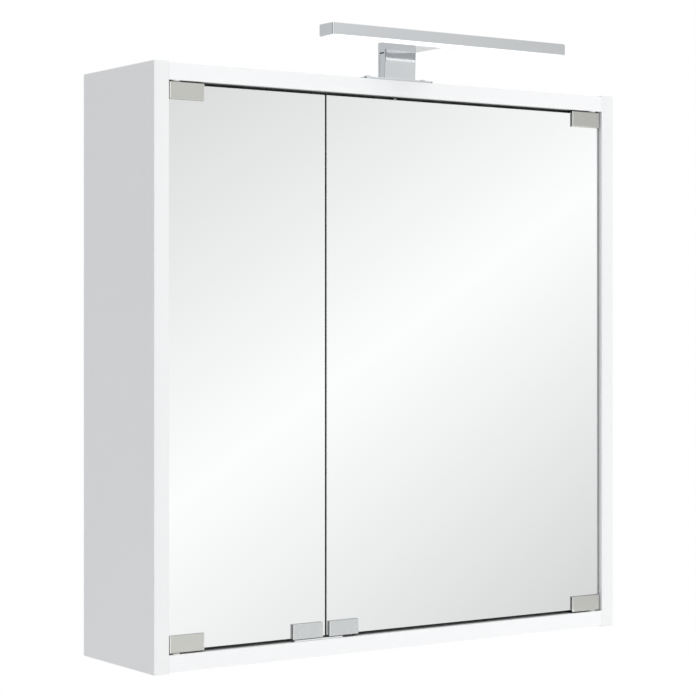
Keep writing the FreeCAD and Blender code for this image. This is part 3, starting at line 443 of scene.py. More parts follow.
def rawHardboard():
    # The rough side of hardboard, brown, with the imprint of the wire screen it was pressed on.
    material, tree, shader = startMaterial("screenPressedHardboard", {"IOR": 1.5, "Roughness": 0.8})
    coordinates = addNode(tree, "ShaderNodeTexCoord")
    fibre = addNode(tree, "ShaderNodeTexNoise", {"Scale": 1 / (6 * mm), "Detail": 8.0, "Roughness": 0.7},
                    {"Vector": coordinates.outputs["Object"]})
    blotch = addNode(tree, "ShaderNodeTexNoise", {"Scale": 1 / (70 * mm), "Detail": 3.0},
                     {"Vector": coordinates.outputs["Object"]})
    blend = addNode(tree, "ShaderNodeMath", {"operation": "ADD"}, {0: fibre.outputs["Fac"], 1: blotch.outputs["Fac"]})
    ramp = addNode(tree, "ShaderNodeMapRange", {"From Min": 0.7, "From Max": 1.3}, {"Value": blend.outputs[0]})
    colour = addNode(tree, "ShaderNodeMix", {"data_type": "RGBA"}, {0: ramp.outputs[0]})
    colour.inputs[6].default_value = linear("#7A5A3C")
    colour.inputs[7].default_value = linear("#9A7A58")
    # The screen's wires are 1.3 mm apart, drawn at 2.6 mm so that they show.
    wires = [addNode(tree, "ShaderNodeTexWave", {
        "bands_direction": way, "Scale": 1 / (2.6 * mm) / 20, "Distortion": 0.6, "Detail": 1.0},
        {"Vector": coordinates.outputs["Object"]}) for way in ("X", "Z")]
    mesh = addNode(tree, "ShaderNodeMath", {"operation": "MULTIPLY"},
                   {0: wires[0].outputs["Fac"], 1: wires[1].outputs["Fac"]})
    relief = addNode(tree, "ShaderNodeMath", {"operation": "ADD"}, {0: mesh.outputs[0], 1: fibre.outputs["Fac"]})
    bump = addNode(tree, "ShaderNodeBump", {"Strength": 0.6, "Distance": 0.1 * mm}, {"Height": relief.outputs[0]})
    tree.links.new(colour.outputs[2], shader.inputs["Base Color"])
    tree.links.new(bump.outputs[0], shader.inputs["Normal"])
    return material


def turnedBeech():
    # Beech dowel rod, turned along the grain: pale pinkish brown with short dark flecks.
    material, tree, shader = startMaterial("turnedBeech", {"IOR": 1.5, "Roughness": 0.6})
    coordinates = addNode(tree, "ShaderNodeTexCoord")
    mapping = addNode(tree, "ShaderNodeMapping", {"Scale": (0.12, 1, 1)}, {"Vector": coordinates.outputs["Object"]})
    grain = addNode(tree, "ShaderNodeTexNoise", {"Scale": 1 / (0.9 * mm), "Detail": 5.0, "Roughness": 0.6},
                    {"Vector": mapping.outputs[0]})
    colour = addNode(tree, "ShaderNodeMix", {"data_type": "RGBA"}, {0: grain.outputs["Fac"]})
    colour.inputs[6].default_value = linear("#B98F63")
    colour.inputs[7].default_value = linear("#DDBB92")
    bump = addNode(tree, "ShaderNodeBump", {"Strength": 0.5, "Distance": 0.05 * mm}, {"Height": grain.outputs["Fac"]})
    tree.links.new(colour.outputs[2], shader.inputs["Base Color"])
    tree.links.new(bump.outputs[0], shader.inputs["Normal"])
    return material


# Silver behind float glass, seen as one bright face with the glass's faint green.
finishes["silveredFloatGlass"] = glass(
    "silveredFloatGlass", {"Metallic": 1.0, "Base Color": linear("#F4F5F5")}, 140, 0.004, 0.012)
# Clear float glass: almost colourless through its face, green along its length.
finishes["clearFloatGlass"] = glass(
    "clearFloatGlass", {"IOR": 1.52, "Transmission Weight": 1.0, "Base Color": linear("#EAF6F0")}, 60, 0.0, 0.02)
finishes["screenPressedHardboard"] = rawHardboard()
finishes["turnedBeech"] = turnedBeech()

slotFinishes = {
    "white_board": "pressedWhiteFoil",
    "back_board": "rolledWhiteLacquer",
    "mirror_glass": "silveredFloatGlass",
    "shelf_glass": "clearFloatGlass",
    "clip_chrome": "satinNickelPlate",
    "lamp_chrome": "brightChromePlate",
    "zinc_steel": "passivatedZincSteel",
    "beech_dowel": "turnedBeech",
    "cam_zinc": "dieCastZinc",
    "white_nylon": "mouldedNylon",
    "white_abs": "mouldedWhiteAbs",
    "clear_liner": "clearPolypropylene",
    "ferrite": "groundFerrite",
    "opal_diffuser": "extrudedOpalAcrylic",
    "strip_board": "whiteSolderMask",
    "led_phosphor": "pouredPhosphor",
    "white_pvc": "extrudedPvcSheath",
    "grey_rubber": "mouldedGreyRubber",
}


def dressNodes():
    for part in frame["record"]["subparts"]:
        mesh = nodes[part["node"]].data
        mesh.materials.clear()
        mesh.materials.append(finishes[slotFinishes[part["material_slot"]]])


dressNodes()
print("materials made:", len(bpy.data.materials))


# Stage: a pale floor well below the hanging cabinet, a large graded reflector in front, and soft lamps

stage = {
    "floorDrop": 0.75,  # floor below the cabinet's base
    "floorRadius": 3.0,
    "reflectorAway": 3.0,
    "reflectorLow": (-2.2, -1.9),
    "reflectorHigh": (6.0, 2.3),
    "ridge": ((1.374, -0.707), (2.754, 0.137)),  # the reflector is brightest along this line
    "ridgeStrength": 1.08,
    "sideStrength": 0.718,
    "sideDistance": 1.1,
    "upperPart": (0.38, 0.47),  # above this height it only fades from left to right
    "upperFade": (1.6, 2.6, 0.95, 0.80),
    "upperEnd": (2.6, 3.0, 0.3),  # and is dim beyond its right end
    "steps": (((3.1, 3.6), 0.5), ((1.15, 0.85), 1.12), ((-1.0, -2.2), 0.95)),  # even parts beyond these places
    "dimCone": (0.80, 0.93),  # the studio is dim straight to the left
}


def addFloor():
    deselectAll()
    bpy.ops.mesh.primitive_circle_add(
        vertices=128, radius=stage["floorRadius"], fill_type="NGON",
        location=(0, -0.3, cadBounds[0][2] - stage["floorDrop"]))
    floor = bpy.context.object
    floor.name = "floor"
    floor.data.materials.append(startMaterial("paleFloorPaint", {
        "Base Color": linear("#FAFAFA"), "Roughness": 0.9, "Specular IOR Level": 0.2})[0])


def addReflector():
    deselectAll()
    (lowX, lowZ), (highX, highZ) = stage["reflectorLow"], stage["reflectorHigh"]
    bpy.ops.mesh.primitive_plane_add(size=1, rotation=(math.radians(90), 0, 0))
    card = bpy.context.object
    card.name = "reflector"
    card.scale = (highX - lowX, highZ - lowZ, 1)
    card.location = ((lowX + highX) / 2, -stage["reflectorAway"], (lowZ + highZ) / 2)
    settle(card)
    material = bpy.data.materials.new("gradedReflector")
    material.use_nodes = True
    tree = material.node_tree
    tree.nodes.clear()
    coordinates = addNode(tree, "ShaderNodeTexCoord")
    (x1, z1), (x2, z2) = stage["ridge"]
    along = Vector((x2 - x1, 0, z2 - z1)).normalized()
    across = Vector((-along.z, 0, along.x))
    offset = addNode(tree, "ShaderNodeVectorMath", {"operation": "SUBTRACT", 1: (x1, 0, z1)},
                     {0: coordinates.outputs["Object"]})
    distance = addNode(tree, "ShaderNodeVectorMath", {"operation": "DOT_PRODUCT", 1: across}, {0: offset.outputs[0]})
    away = addNode(tree, "ShaderNodeMath", {"operation": "ABSOLUTE"}, {0: distance.outputs["Value"]})
    lower = addNode(tree, "ShaderNodeMapRange", {
        "From Min": 0.0, "From Max": stage["sideDistance"], "To Min": stage["ridgeStrength"],
        "To Max": stage["sideStrength"]}, {"Value": away.outputs[0]})
    place = addNode(tree, "ShaderNodeSeparateXYZ", links={0: coordinates.outputs["Object"]})
    nearX, farX, nearStrength, farStrength = stage["upperFade"]
    upper = addNode(tree, "ShaderNodeMapRange", {
        "From Min": nearX, "From Max": farX, "To Min": nearStrength, "To Max": farStrength},
        {"Value": place.outputs["X"]})
    endX, darkX, endShare = stage["upperEnd"]
    share = addNode(tree, "ShaderNodeMapRange", {
        "interpolation_type": "SMOOTHSTEP", "From Min": endX, "From Max": darkX, "To Min": 1.0, "To Max": endShare},
        {"Value": place.outputs["X"]})
    faded = addNode(tree, "ShaderNodeMath", {"operation": "MULTIPLY"}, {0: upper.outputs[0], 1: share.outputs[0]})
    rise = addNode(tree, "ShaderNodeMapRange", {
        "interpolation_type": "SMOOTHSTEP", "From Min": stage["upperPart"][0], "From Max": stage["upperPart"][1]},
        {"Value": place.outputs["Z"]})
    stacked = addNode(tree, "ShaderNodeMix", links={0: rise.outputs[0], 2: lower.outputs[0], 3: faded.outputs[0]})
    strength = stacked
    for (start, end), level in stage["steps"]:
        beyond = addNode(tree, "ShaderNodeMapRange", {
            "interpolation_type": "SMOOTHSTEP", "From Min": start, "From Max": end}, {"Value": place.outputs["X"]})
        strength = addNode(tree, "ShaderNodeMix", {3: level}, {0: beyond.outputs[0], 2: strength.outputs[0]})
    glow = addNode(tree, "ShaderNodeEmission", {"Color": (1, 1, 1, 1)}, {"Strength": strength.outputs[0]})
    addNode(tree, "ShaderNodeOutputMaterial", links={"Surface": glow.outputs[0]})
    card.data.materials.append(material)
    card.visible_camera = False
    card.visible_shadow = False


def addSoftLamp(name, place, target, size, power, colour="#FFFFFF"):
    data = bpy.data.lights.new(name, "AREA")
    data.shape = "RECTANGLE"
    data.size, data.size_y = size
    data.energy = power
    data.color = linear(colour)[:3]
    lamp = bpy.data.objects.new(name, data)
    bpy.context.scene.collection.objects.link(lamp)
    lamp.location = place
    lamp.rotation_euler = (Vector(target) - Vector(place)).to_track_quat("-Z", "Y").to_euler()
    lamp.visible_camera = False
    return lamp


def addWorld():
    world = bpy.data.worlds.new("studio")
    bpy.context.scene.world = world
    world.use_nodes = True
    tree = world.node_tree
    tree.nodes.clear()
    coordinates = addNode(tree, "ShaderNodeTexCoord")
    parts = addNode(tree, "ShaderNodeSeparateXYZ", links={0: coordinates.outputs["Generated"]})
    side = addNode(tree, "ShaderNodeMapRange", {"From Min": -1.0, "From Max": 1.0, "To Min": 0.0, "To Max": 1.0},
                   {"Value": parts.outputs["X"]})
    colour = addNode(tree, "ShaderNodeMix", {"data_type": "RGBA"}, {0: side.outputs[0]})
    colour.inputs[6].default_value = linear("#E7E8EA")
    colour.inputs[7].default_value = linear("#EDEDED")
    dimness = addNode(tree, "ShaderNodeMapRange", {
        "interpolation_type": "SMOOTHSTEP", "From Min": -stage["dimCone"][0], "From Max": -stage["dimCone"][1]},
        {"Value": parts.outputs["X"]})
    dimmed = addNode(tree, "ShaderNodeMix", {"data_type": "RGBA"}, {0: dimness.outputs[0], 6: colour.outputs[2]})
    dimmed.inputs[7].default_value = linear("#70747A")
    room = addNode(tree, "ShaderNodeBackground", {"Strength": 0.95}, {"Color": dimmed.outputs[2]})
    backdrop = addNode(tree, "ShaderNodeBackground", {"Color": (1, 1, 1, 1), "Strength": 1.0})
    path = addNode(tree, "ShaderNodeLightPath")
    either = addNode(tree, "ShaderNodeMixShader", links={
        0: path.outputs["Is Camera Ray"], 1: room.outputs[0], 2: backdrop.outputs[0]})
    addNode(tree, "ShaderNodeOutputWorld", links={"Surface": either.outputs[0]})


addFloor()
addReflector()
addWorld()
addSoftLamp("overheadSoftbox", (0.2, -0.9, 2.4), (0, -0.3, -1.0), (3.2, 2.6), 22)
bounce = addSoftLamp("lowBounce", (1.4, -1.3, -1.3), (1.4, -1.3, 1.0), (0.6, 2.4), 7.5)
bounce.rotation_euler = (math.pi, 0, math.radians(25))
print("stage set")


# Mirror doors

mirrorEdges = {
    "chamfer": 0.5 * mm,  # ground along the front and rear edges of the glass
    "corner": 0.8 * mm,
}


def makeMirror(side):
    low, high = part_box(f"{side}_mirror")
    pane = startBox(f"{side}_mirror_pane", low, high)
    bevelEdges(pane, mirrorEdges["corner"], 3, edgesAlong("y"))
    bevelEdges(pane, mirrorEdges["chamfer"], 1,
               lambda a, b: near(a.y, b.y) and (near(a.y, low.y) or near(a.y, high.y)))
    complete(pane, f"{side}_mirror",
             ["polishedMirrorEdge", "groundGlassChamfer", "silveredFloatGlass", "sprayedBackingPaint"],
             [lambda centre, way: 0.1 < -way.y < 0.99, lambda centre, way: way.y < -0.99,
           lambda centre, way: way.y > 0.1], body=f"{side}_door", smoothAngle=20)


for side in ("left", "right"):
    makeMirror(side)
print("mirror panes made")


# Clamp hinges: modelled at the left door's top corner, and copied to the other three

hingeClip = {
    "frontRound": 0.9 * mm,
    "ease": 0.15 * mm,
    "frontPlate": 1.8 * mm,
    "jaw": 2.5 * mm,
    "jawSetback": 5 * mm,
    "web": 1.8 * mm,  # thickness over the glass's edge
}


def paintClip(clip, face, edge):  # the brushed face, its rounds painted bright as painted highlight, and its edges behind them painted dark as painted shade
    paint(clip, [face, edge, "nickelRoundPaintedHighlight"], [
        lambda centre, way: abs(way.y) < 0.3, lambda centre, way: -0.99 < way.y < -0.5 and abs(way.x) > 0.15])


def makeHingeClip():
    low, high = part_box("left_top_hinge_clip")
    plateBack = low.y + hingeClip["frontPlate"]
    webLow = high.z - hingeClip["web"]
    clip = startBox("left_top_clamp", low, (high.x, plateBack, high.z))
    splitAt(clip, (0, 0, webLow), alongZ)
    pull(clip, lambda centre, way: way.y > 0.9 and centre.z > webLow, (0, high.y - hingeClip["jaw"] - plateBack, 0))
    splitAt(clip, (low.x + hingeClip["jawSetback"], 0, 0), alongX)
    inner = low.x + hingeClip["jawSetback"]
    pull(clip, lambda centre, way: way.y > 0.9 and centre.z > webLow and centre.x > inner, (0, hingeClip["jaw"], 0))
    jawFront = high.y - hingeClip["jaw"]
    pull(clip, lambda centre, way: way.z < -0.9 and centre.y > jawFront and centre.x > inner,
         (0, 0, low.z - webLow))
    tidyMesh(clip)
    choose(clip, "EDGE", lambda a, b: False)
    bpy.ops.mesh.select_all(action="SELECT")
    bpy.ops.mesh.dissolve_limited(angle_limit=math.radians(1))
    closeEdit()
    bevelEdges(clip, hingeClip["frontRound"], 4, edgesAt("y", low.y))
    easeEdges(clip, hingeClip["ease"], 2)
    tidyMesh(clip)
    # The clip's edges take the near-black painted shade, its front rounds the bright painted highlight.
    paintClip(clip, "satinNickelPlate", "nickelEdgePaintedShade")
    return clip


def placeHingeClips():
    first = makeHingeClip()
    doorLow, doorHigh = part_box("left_mirror")
    middle = (0, 0, (doorLow.z + doorHigh.z) / 2)
    places = {
        ("right", "top"): (-1, 1, 1), ("left", "bottom"): (1, 1, -1), ("right", "bottom"): (-1, 1, -1)}
    standIn(first, "left_door", ["left_top_hinge_clip"])
    for (side, end), scale in places.items():
        clip = copyPiece(first, f"{side}_{end}_clamp", scale, middle)
        tidyMesh(clip)
        standIn(clip, f"{side}_door", [f"{side}_{end}_hinge_clip"])


placeHingeClips()
print("hinge clips made")


# Grip clips on both sides of the seam

gripClip = {
    "frontRound": 0.9 * mm,
    "ease": 0.15 * mm,
    "frontPlate": 2.5 * mm,
    "jaw": 2.5 * mm,
    "web": 0.8 * mm,
}


def makeGrip(side):
    low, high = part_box(f"{side}_grip_clip")
    plateBack = low.y + gripClip["frontPlate"]
    webHigh = low.z + gripClip["web"]
    jawFront = high.y - gripClip["jaw"]
    clip = startBox(f"{side}_grip", low, (high.x, plateBack, high.z))
    splitAt(clip, (0, 0, webHigh), alongZ)
    pull(clip, lambda centre, way: way.y > 0.9 and centre.z < webHigh, (0, jawFront - plateBack, 0))
    pull(clip, lambda centre, way: way.y > 0.9 and centre.z < webHigh and centre.y > plateBack,
         (0, gripClip["jaw"], 0))
    pull(clip, lambda centre, way: way.z > 0.9 and centre.y > jawFront, (0, 0, high.z - webHigh))
    bevelEdges(clip, gripClip["frontRound"], 4, lambda a, b: near(a.y, low.y) and near(b.y, low.y) and not (
        near(a.z, webHigh) and near(b.z, webHigh)))
    easeEdges(clip, gripClip["ease"], 2)
    tidyMesh(clip)
    # The grip's edges take the mid-grey painted shade, its front rounds the bright painted highlight.
    paintClip(clip, "satinNickelSheet", "sheetEdgePaintedShade")
    standIn(clip, f"{side}_door", [f"{side}_grip_clip"])


for side in ("left", "right"):
    makeGrip(side)
print("grip clips made")


# Screws: one pan head with a cross recess for each group, modelled once and copied to its places

screwForm = {
    "headLength": 2 * mm,
    "headRound": 0.9 * mm,
    "shank": 1.75 * mm,
    "tipRound": 1.05 * mm,
    "ease": 0.08 * mm,
    "recessLength": 3.6 * mm,
    "recessWidth": 0.9 * mm,
    "recessDepth": 1.1 * mm,
}


def makeScrew(name, headRadius, length):
    head = startRod(name, headRadius, (0, 0, -screwForm["headLength"]), (0, 0, 0), 40)
    bevelEdges(head, screwForm["headRound"], 4, edgesAt("z", 0))
    half, side, deep = screwForm["recessLength"] / 2, screwForm["recessWidth"] / 2, screwForm["recessDepth"]
    carve(head, [startBox("bar", (-half, -side, -deep), (half, side, 1 * mm)),
                 startBox("bar", (-side, -half, -deep), (side, half, 1 * mm))])
    shank = startRod("shank", screwForm["shank"], (0, 0, -length), (0, 0, -screwForm["headLength"]), 32)
    bevelEdges(shank, screwForm["tipRound"], 3, edgesAt("z", -length))
    screw = joinPieces([head, shank], name)
    easeEdges(screw, screwForm["ease"], 2, 50)
    return screw


def placeScrews(node, way):
    way = Vector(way)
    spots = islands(node)
    low, high = spots[0]
    across = [high[i] - low[i] for i in range(3) if abs(way[i]) < 0.5]
    length = abs((high - low).dot(way))
    screw = makeScrew(node + "_set", max(across) / 2, length)
    turn = way.to_track_quat("Z", "Y").to_matrix()
    pieces = []
    for low, high in spots:
        top = (low + high) / 2 + way * (length / 2)
        mesh = screw.data.copy()
        for vertex in mesh.vertices:
            vertex.co = turn @ vertex.co + top
        piece = bpy.data.objects.new(node + "_piece", mesh)
        bpy.context.scene.collection.objects.link(piece)
        pieces.append(piece)
    bpy.data.objects.remove(screw)
    screws = joinPieces(pieces, node + "_set")
    complete(screws, node, ["passivatedZincSteel"])


for node, way in (("lamp_foot_screws", (0, 0, 1)), ("catch_screws", (0, 0, 1)),
                  ("led_driver_screws", (0, 0, -1)), ("switch_box_screws", (-1, 0, 0))):
    placeScrews(node, way)
print("screws placed")


# Lamp: bar with two caps and a diffuser, on an arm whose root stands on the foot

lampBar = {
    "wall": 1.6 * mm,
    "round": 0.8 * mm,
    "capRound": 1.2 * mm,
    "ease": 0.12 * mm,
    "capEase": 0.1 * mm,
    "tongueGap": 0.1 * mm,
    "tongueLength": 4 * mm,
    "tongueRise": 2.4 * mm,
    "tongueEase": 0.3 * mm,
    "paneEase": 0.4 * mm,
}
lampArm = {
    "root": 14 * mm,
    "thickness": 8.6 * mm,
    "plate": 2 * mm,
    "ease": 0.15 * mm,
    "postSink": 0.4 * mm,
    "seamRise": 1.5 * mm,
    "lean": 1.1 * mm,  # from the arm's underside down to the foot plate
    "corner": 1.1 * mm,
    "latchLength": 8 * mm,
    "latchHeight": 1.5 * mm,
    "latchDepth": 1.2 * mm,
    "latchRise": 8.7 * mm,
    "seamSetback": 3.4 * mm,  # joint between the folded cover and its back plate
    "seamWidth": 0.7 * mm,
    "seamDepth": 0.5 * mm,
    "plateCorner": 5.5 * mm,
    "plateEase": 0.7 * mm,
}


def makeLampBar():
    low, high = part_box("lamp_housing")
    bar = startBox("lamp_bar", low, high)
    bevelEdges(bar, lampBar["round"], 4, edgesAlong("x"))
    wall = lampBar["wall"]
    room = startBox("room", (low.x - wall, low.y + wall, low.z - wall), (high.x + wall, high.y - wall, high.z - wall))
    carve(bar, [room])
    easeEdges(bar, lampBar["ease"], 2, 60)
    complete(bar, "lamp_housing", ["brightChromePlate"])


def makeLampCaps():
    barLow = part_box("lamp_housing")[0]
    low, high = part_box("lamp_end_caps")
    cap = startBox("lamp_caps", (low.x, low.y, low.z), (barLow.x, high.y, high.z))
    bevelEdges(cap, lampBar["capRound"], 5, lambda a, b: near(a.x, low.x) and near(b.x, low.x) or not near(a.x, b.x))
    easeEdges(cap, lampBar["capEase"], 2, 50)
    wall = lampBar["wall"] + lampBar["tongueGap"]
    long = lampBar["tongueLength"]
    tongue = startBox("tongue", (barLow.x, low.y + wall, low.z + lampBar["tongueRise"]),
                      (barLow.x + long, high.y - wall, high.z - long))
    easeEdges(tongue, lampBar["tongueEase"])
    cap = joinPieces([cap, tongue], "lamp_caps")
    other = copyPiece(cap, "other_cap", (-1, 1, 1))
    tidyMesh(other)
    caps = joinPieces([cap, other], "lamp_caps")
    # The front rounds of the caps take the bright finish: a painted highlight.
    complete(caps, "lamp_end_caps", ["brightChromePlate", "chromeRoundPaintedHighlight"],
             [lambda centre, way: -0.98 < way.y < -0.5 and abs(way.z) < 0.3])


def makeDiffuser():
    low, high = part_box("lamp_diffuser")
    pane = startBox("lamp_diffuser_pane", low, high)
    easeEdges(pane, lampBar["paneEase"], 3)
    complete(pane, "lamp_diffuser", ["extrudedOpalAcrylic"])


def sideSlots(low, high, yLow, yHigh, zLow, zHigh, depth):
    return [startBox("slot", (low.x - depth, yLow, zLow), (low.x + depth, yHigh, zHigh)),
            startBox("slot", (high.x - depth, yLow, zLow), (high.x + depth, yHigh, zHigh))]


def makeArm():
    low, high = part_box("lamp_arm")
    underside = high.z - lampArm["thickness"]
    front = high.y - lampArm["root"]
    arm = startBox("lamp_arm_body", (low.x, low.y, underside), high)
    splitAt(arm, (0, front, 0), alongY)
    pull(arm, lambda centre, way: way.z < -0.9 and centre.y > front, (0, 0, low.z - underside))
    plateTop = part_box("lamp_foot")[0].z + lampArm["plate"]
    shift = lampArm["lean"] * (underside - low.z) / (underside - plateTop)
    choose(arm, "VERT", lambda spot: near(spot.z, low.z) and near(spot.y, front))
    bpy.ops.transform.translate(value=(0, shift, 0))
    closeEdit()
    bevelEdges(arm, lampArm["corner"], 4, lambda a, b: near(a.x, b.x) and max(a.y, b.y) < front + shift + 0.1 * mm
               and not near(a.z, b.z) and max(a.z, b.z) < underside + 0.1 * mm and min(a.y, b.y) > front - 0.1 * mm)
    middle = (front + high.y) / 2
    half = lampArm["latchLength"] / 2
    slotLow = low.z + lampArm["latchRise"]
    seam = high.y - lampArm["seamSetback"]
    carve(arm, [
        *sideSlots(low, high, middle - half, middle + half, slotLow, slotLow + lampArm["latchHeight"],
                   lampArm["latchDepth"]),
        *sideSlots(low, high, seam, seam + lampArm["seamWidth"], low.z - 1 * mm, slotLow - 1 * mm,
                   lampArm["seamDepth"])])
    easeEdges(arm, lampArm["ease"], 2, 50)
    # The latch slot's inner faces take the dark grey rubber finish: painted shade in the recess.
    complete(arm, "lamp_arm", ["brightChromePlate", "mouldedGreyRubber"],
             [lambda centre, way: slotLow < centre.z < slotLow + lampArm["latchHeight"]
              and abs(centre.x) < high.x - lampArm["latchDepth"] / 2 and abs(centre.y - middle) < half])


def makeFoot():
    low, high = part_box("lamp_foot")
    armLow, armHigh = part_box("lamp_arm")
    top = low.z + lampArm["plate"]
    foot = startBox("lamp_foot_body", low, (high.x, high.y, top))
    bevelEdges(foot, lampArm["plateCorner"], 10, edgesAlong("z"))
    bevelEdges(foot, lampArm["plateEase"], 3, edgesAt("z", top))
    underside = armHigh.z - lampArm["thickness"]
    front = low.y + lampArm["lean"]
    shift = lampArm["lean"] * (high.z - top) / (underside - top)
    post = startBox("post", (armLow.x, front, top - lampArm["postSink"]), (armHigh.x, armHigh.y, high.z))
    choose(post, "VERT", lambda spot: near(spot.z, high.z) and near(spot.y, front))
    bpy.ops.transform.translate(value=(0, -shift, 0))
    closeEdit()
    bevelEdges(post, lampArm["corner"], 4, lambda a, b: near(a.x, b.x) and max(a.y, b.y) < front + 0.1 * mm
               and not near(a.z, b.z))
    seam = armHigh.y - lampArm["seamSetback"]
    carve(post, sideSlots(armLow, armHigh, seam, seam + lampArm["seamWidth"], top + lampArm["seamRise"],
                          high.z + past, lampArm["seamDepth"]))
    easeEdges(post, lampArm["ease"], 2, 50)
    foot = joinPieces([foot, post], "lamp_foot_body")
    # The post's front rounds take the bright finish: a painted highlight.
    complete(foot, "lamp_foot", ["brightChromePlate", "chromeRoundPaintedHighlight"],
             [lambda centre, way: -0.98 < way.y < -0.5 and abs(way.z) < 0.3 and centre.z > top])


makeLampBar()
makeLampCaps()
makeDiffuser()
makeArm()
makeFoot()
print("lamp made")


# Carcass: foiled boards with edging tape, and the hardboard back

carcass = {
    "outerRound": 0.8 * mm,
    "ease": 0.3 * mm,
    "pinHole": 2.55 * mm,
    "pinDepth": 9 * mm,
    "pinRow": 32 * mm,
    "camSeat": 7.55 * mm,
    "grommetHole": 3.25 * mm,
    "outletHole": 10.05 * mm,
    "slack": 0.1 * mm,
}


def backGroove():
    low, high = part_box("back_panel")
    slack = Vector((1, 1, 1)) * carcass["slack"]
    return startBox("groove", low - slack, high + slack)


def pinCutters(side, inner):
    cutters = []
    for low, high in islands("shelf_pins"):
        if (low.x + high.x) * side < 0:
            continue
        y, z = (low.y + high.y) / 2, (low.z + high.z) / 2
        for step in (-1, 0, 1):
            level = z + step * carcass["pinRow"]
            cutters.append(rodAlong("x", carcass["pinHole"], (0, y, level), inner - side * 1 * mm,
                                    inner + side * carcass["pinDepth"], 32))
    return [joinPieces(cutters, "holes")]


def finishBoard(board, name, tape):
    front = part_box(name)[0].y
    complete(board, name, ["pressedWhiteFoil", tape],
             [lambda centre, way: way.y < -0.3 and centre.y < front + 1 * mm])


def makeSideBoard(side, name):
    low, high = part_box(name)
    outer, inner = (high.x, low.x) if side > 0 else (low.x, high.x)
    board = startBox(name + "_panel", low, high)
    bevelEdges(board, carcass["outerRound"], 4, edgesAt("x", outer))
    easeEdges(board, carcass["ease"], 2, 60)
    carve(board, [backGroove(), *pinCutters(side, inner)])
    finishBoard(board, name, "extrudedEdgingTape")


def makeFlatBoard(name, seatsFromTop):
    low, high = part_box(name)
    board = startBox(name + "_panel", low, high)
    easeEdges(board, carcass["ease"], 2, 60)
    seats = []
    for camLow, camHigh in islands("cams"):
        if low.z < camLow.z < high.z:
            bottom, top = (camLow.z, high.z + past) if seatsFromTop else (low.z - past, camHigh.z)
            seats.append(rodAlong("z", carcass["camSeat"], (camLow + camHigh) / 2, bottom, top))
    cutters = [backGroove(), joinPieces(seats, "seats")]
    if seatsFromTop:
        cutters.append(rodAlong("z", carcass["grommetHole"], sum(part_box("lead_grommet"), Vector()) / 2,
                                low.z - past, high.z + past))
    carve(board, cutters)
    # The top and bottom boards' tape is painted brighter than the side boards': painted light.
    finishBoard(board, name, "edgingTapePaintedLight")


def makeBack():
    low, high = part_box("back_panel")
    panel = startBox("back_sheet", low, high)
    easeEdges(panel, 0.2 * mm, 1)
    cutters = [rodAlong("y", carcass["outletHole"], sum(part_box("cable_outlet"), Vector()) / 2,
                        low.y - past, high.y + past)]
    for hookLow, hookHigh in islands("hanger_hooks"):
        cutters.append(startBox("slot", (hookLow.x - 1 * mm, low.y - 1 * mm, hookLow.z - 5 * mm),
                                (hookHigh.x + 1 * mm, high.y + 1 * mm, hookHigh.z + 5 * mm)))
    carve(panel, cutters)
    complete(panel, "back_panel", ["screenPressedHardboard", "rolledWhiteLacquer"],
             [lambda centre, way: way.y < -0.5])


makeSideBoard(-1, "left_side_board")
makeSideBoard(1, "right_side_board")
makeFlatBoard("top_board", True)
makeFlatBoard("bottom_board", False)
makeBack()
print("carcass made")


# Shelves: float glass with arrissed and polished edges

shelfForm = {"corner": 2 * mm, "arris": 0.5 * mm}


def makeShelf(name):
    low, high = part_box(name)
    pane = startBox(name + "_pane", low, high)
    bevelEdges(pane, shelfForm["corner"], 6, edgesAlong("z"))
    bevelEdges(pane, shelfForm["arris"], 2, lambda a, b: near(a.z, b.z))
    complete(pane, name, ["clearFloatGlass", "polishedGlassEdge"],
             [lambda centre, way: abs(way.z) < 0.9], smoothAngle=20)


for name in ("lower_shelf", "upper_shelf"):
    makeShelf(name)
print("shelves made")


# Magnetic catch behind the seam

catchForm = {
    "plateCorner": 2 * mm,
    "corner": 1.5 * mm,
    "ease": 0.25 * mm,
    "screwHole": 1.85 * mm,
    "ribs": range(-14, 15, 4),  # millimetres from the middle
    "ribDepth": 0.8 * mm,
}


def makeCatch():
    low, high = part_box("catch_plate")
    plate = startBox("catch_base", low, high)
    bevelEdges(plate, catchForm["plateCorner"], 5, edgesAlong("z"))
    carve(plate, [rodAlong("z", catchForm["screwHole"], (a + b) / 2, low.z - past, high.z + past, 32)
                  for a, b in islands("catch_screws")])
    easeEdges(plate, catchForm["ease"], 2, 50)
    # The base plate is painted brighter than plain zinc steel: painted light.
    complete(plate, "catch_plate", ["zincStripPaintedLight"])
    low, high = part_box("catch_housing")
    housing = startBox("catch_case", low, high)
    bevelEdges(housing, catchForm["corner"], 4, edgesAlong("z"))
    middle = (low.x + high.x) / 2
    pockets = [startBox("pocket", (a.x, low.y - past, a.z), (b.x, b.y, b.z)) for a, b in islands("catch_magnets")]
    ribs = [startBox("rib", (middle + step * mm - 0.5 * mm, low.y + 11 * mm, high.z - catchForm["ribDepth"]),
                     (middle + step * mm + 0.5 * mm, high.y - 2 * mm, high.z + past))
            for step in catchForm["ribs"]]
    carve(housing, [joinPieces(pockets, "pockets"), joinPieces(ribs, "ribs")])
    easeEdges(housing, catchForm["ease"], 2, 50)
    complete(housing, "catch_housing", ["mouldedNylon"])


makeCatch()
print("catch made")


# Hangers in the top corners

hangerForm = {"round": 1.5 * mm, "adjuster": 3.05 * mm, "adjusterDepth": 14 * mm, "screwHead": 3.45 * mm}


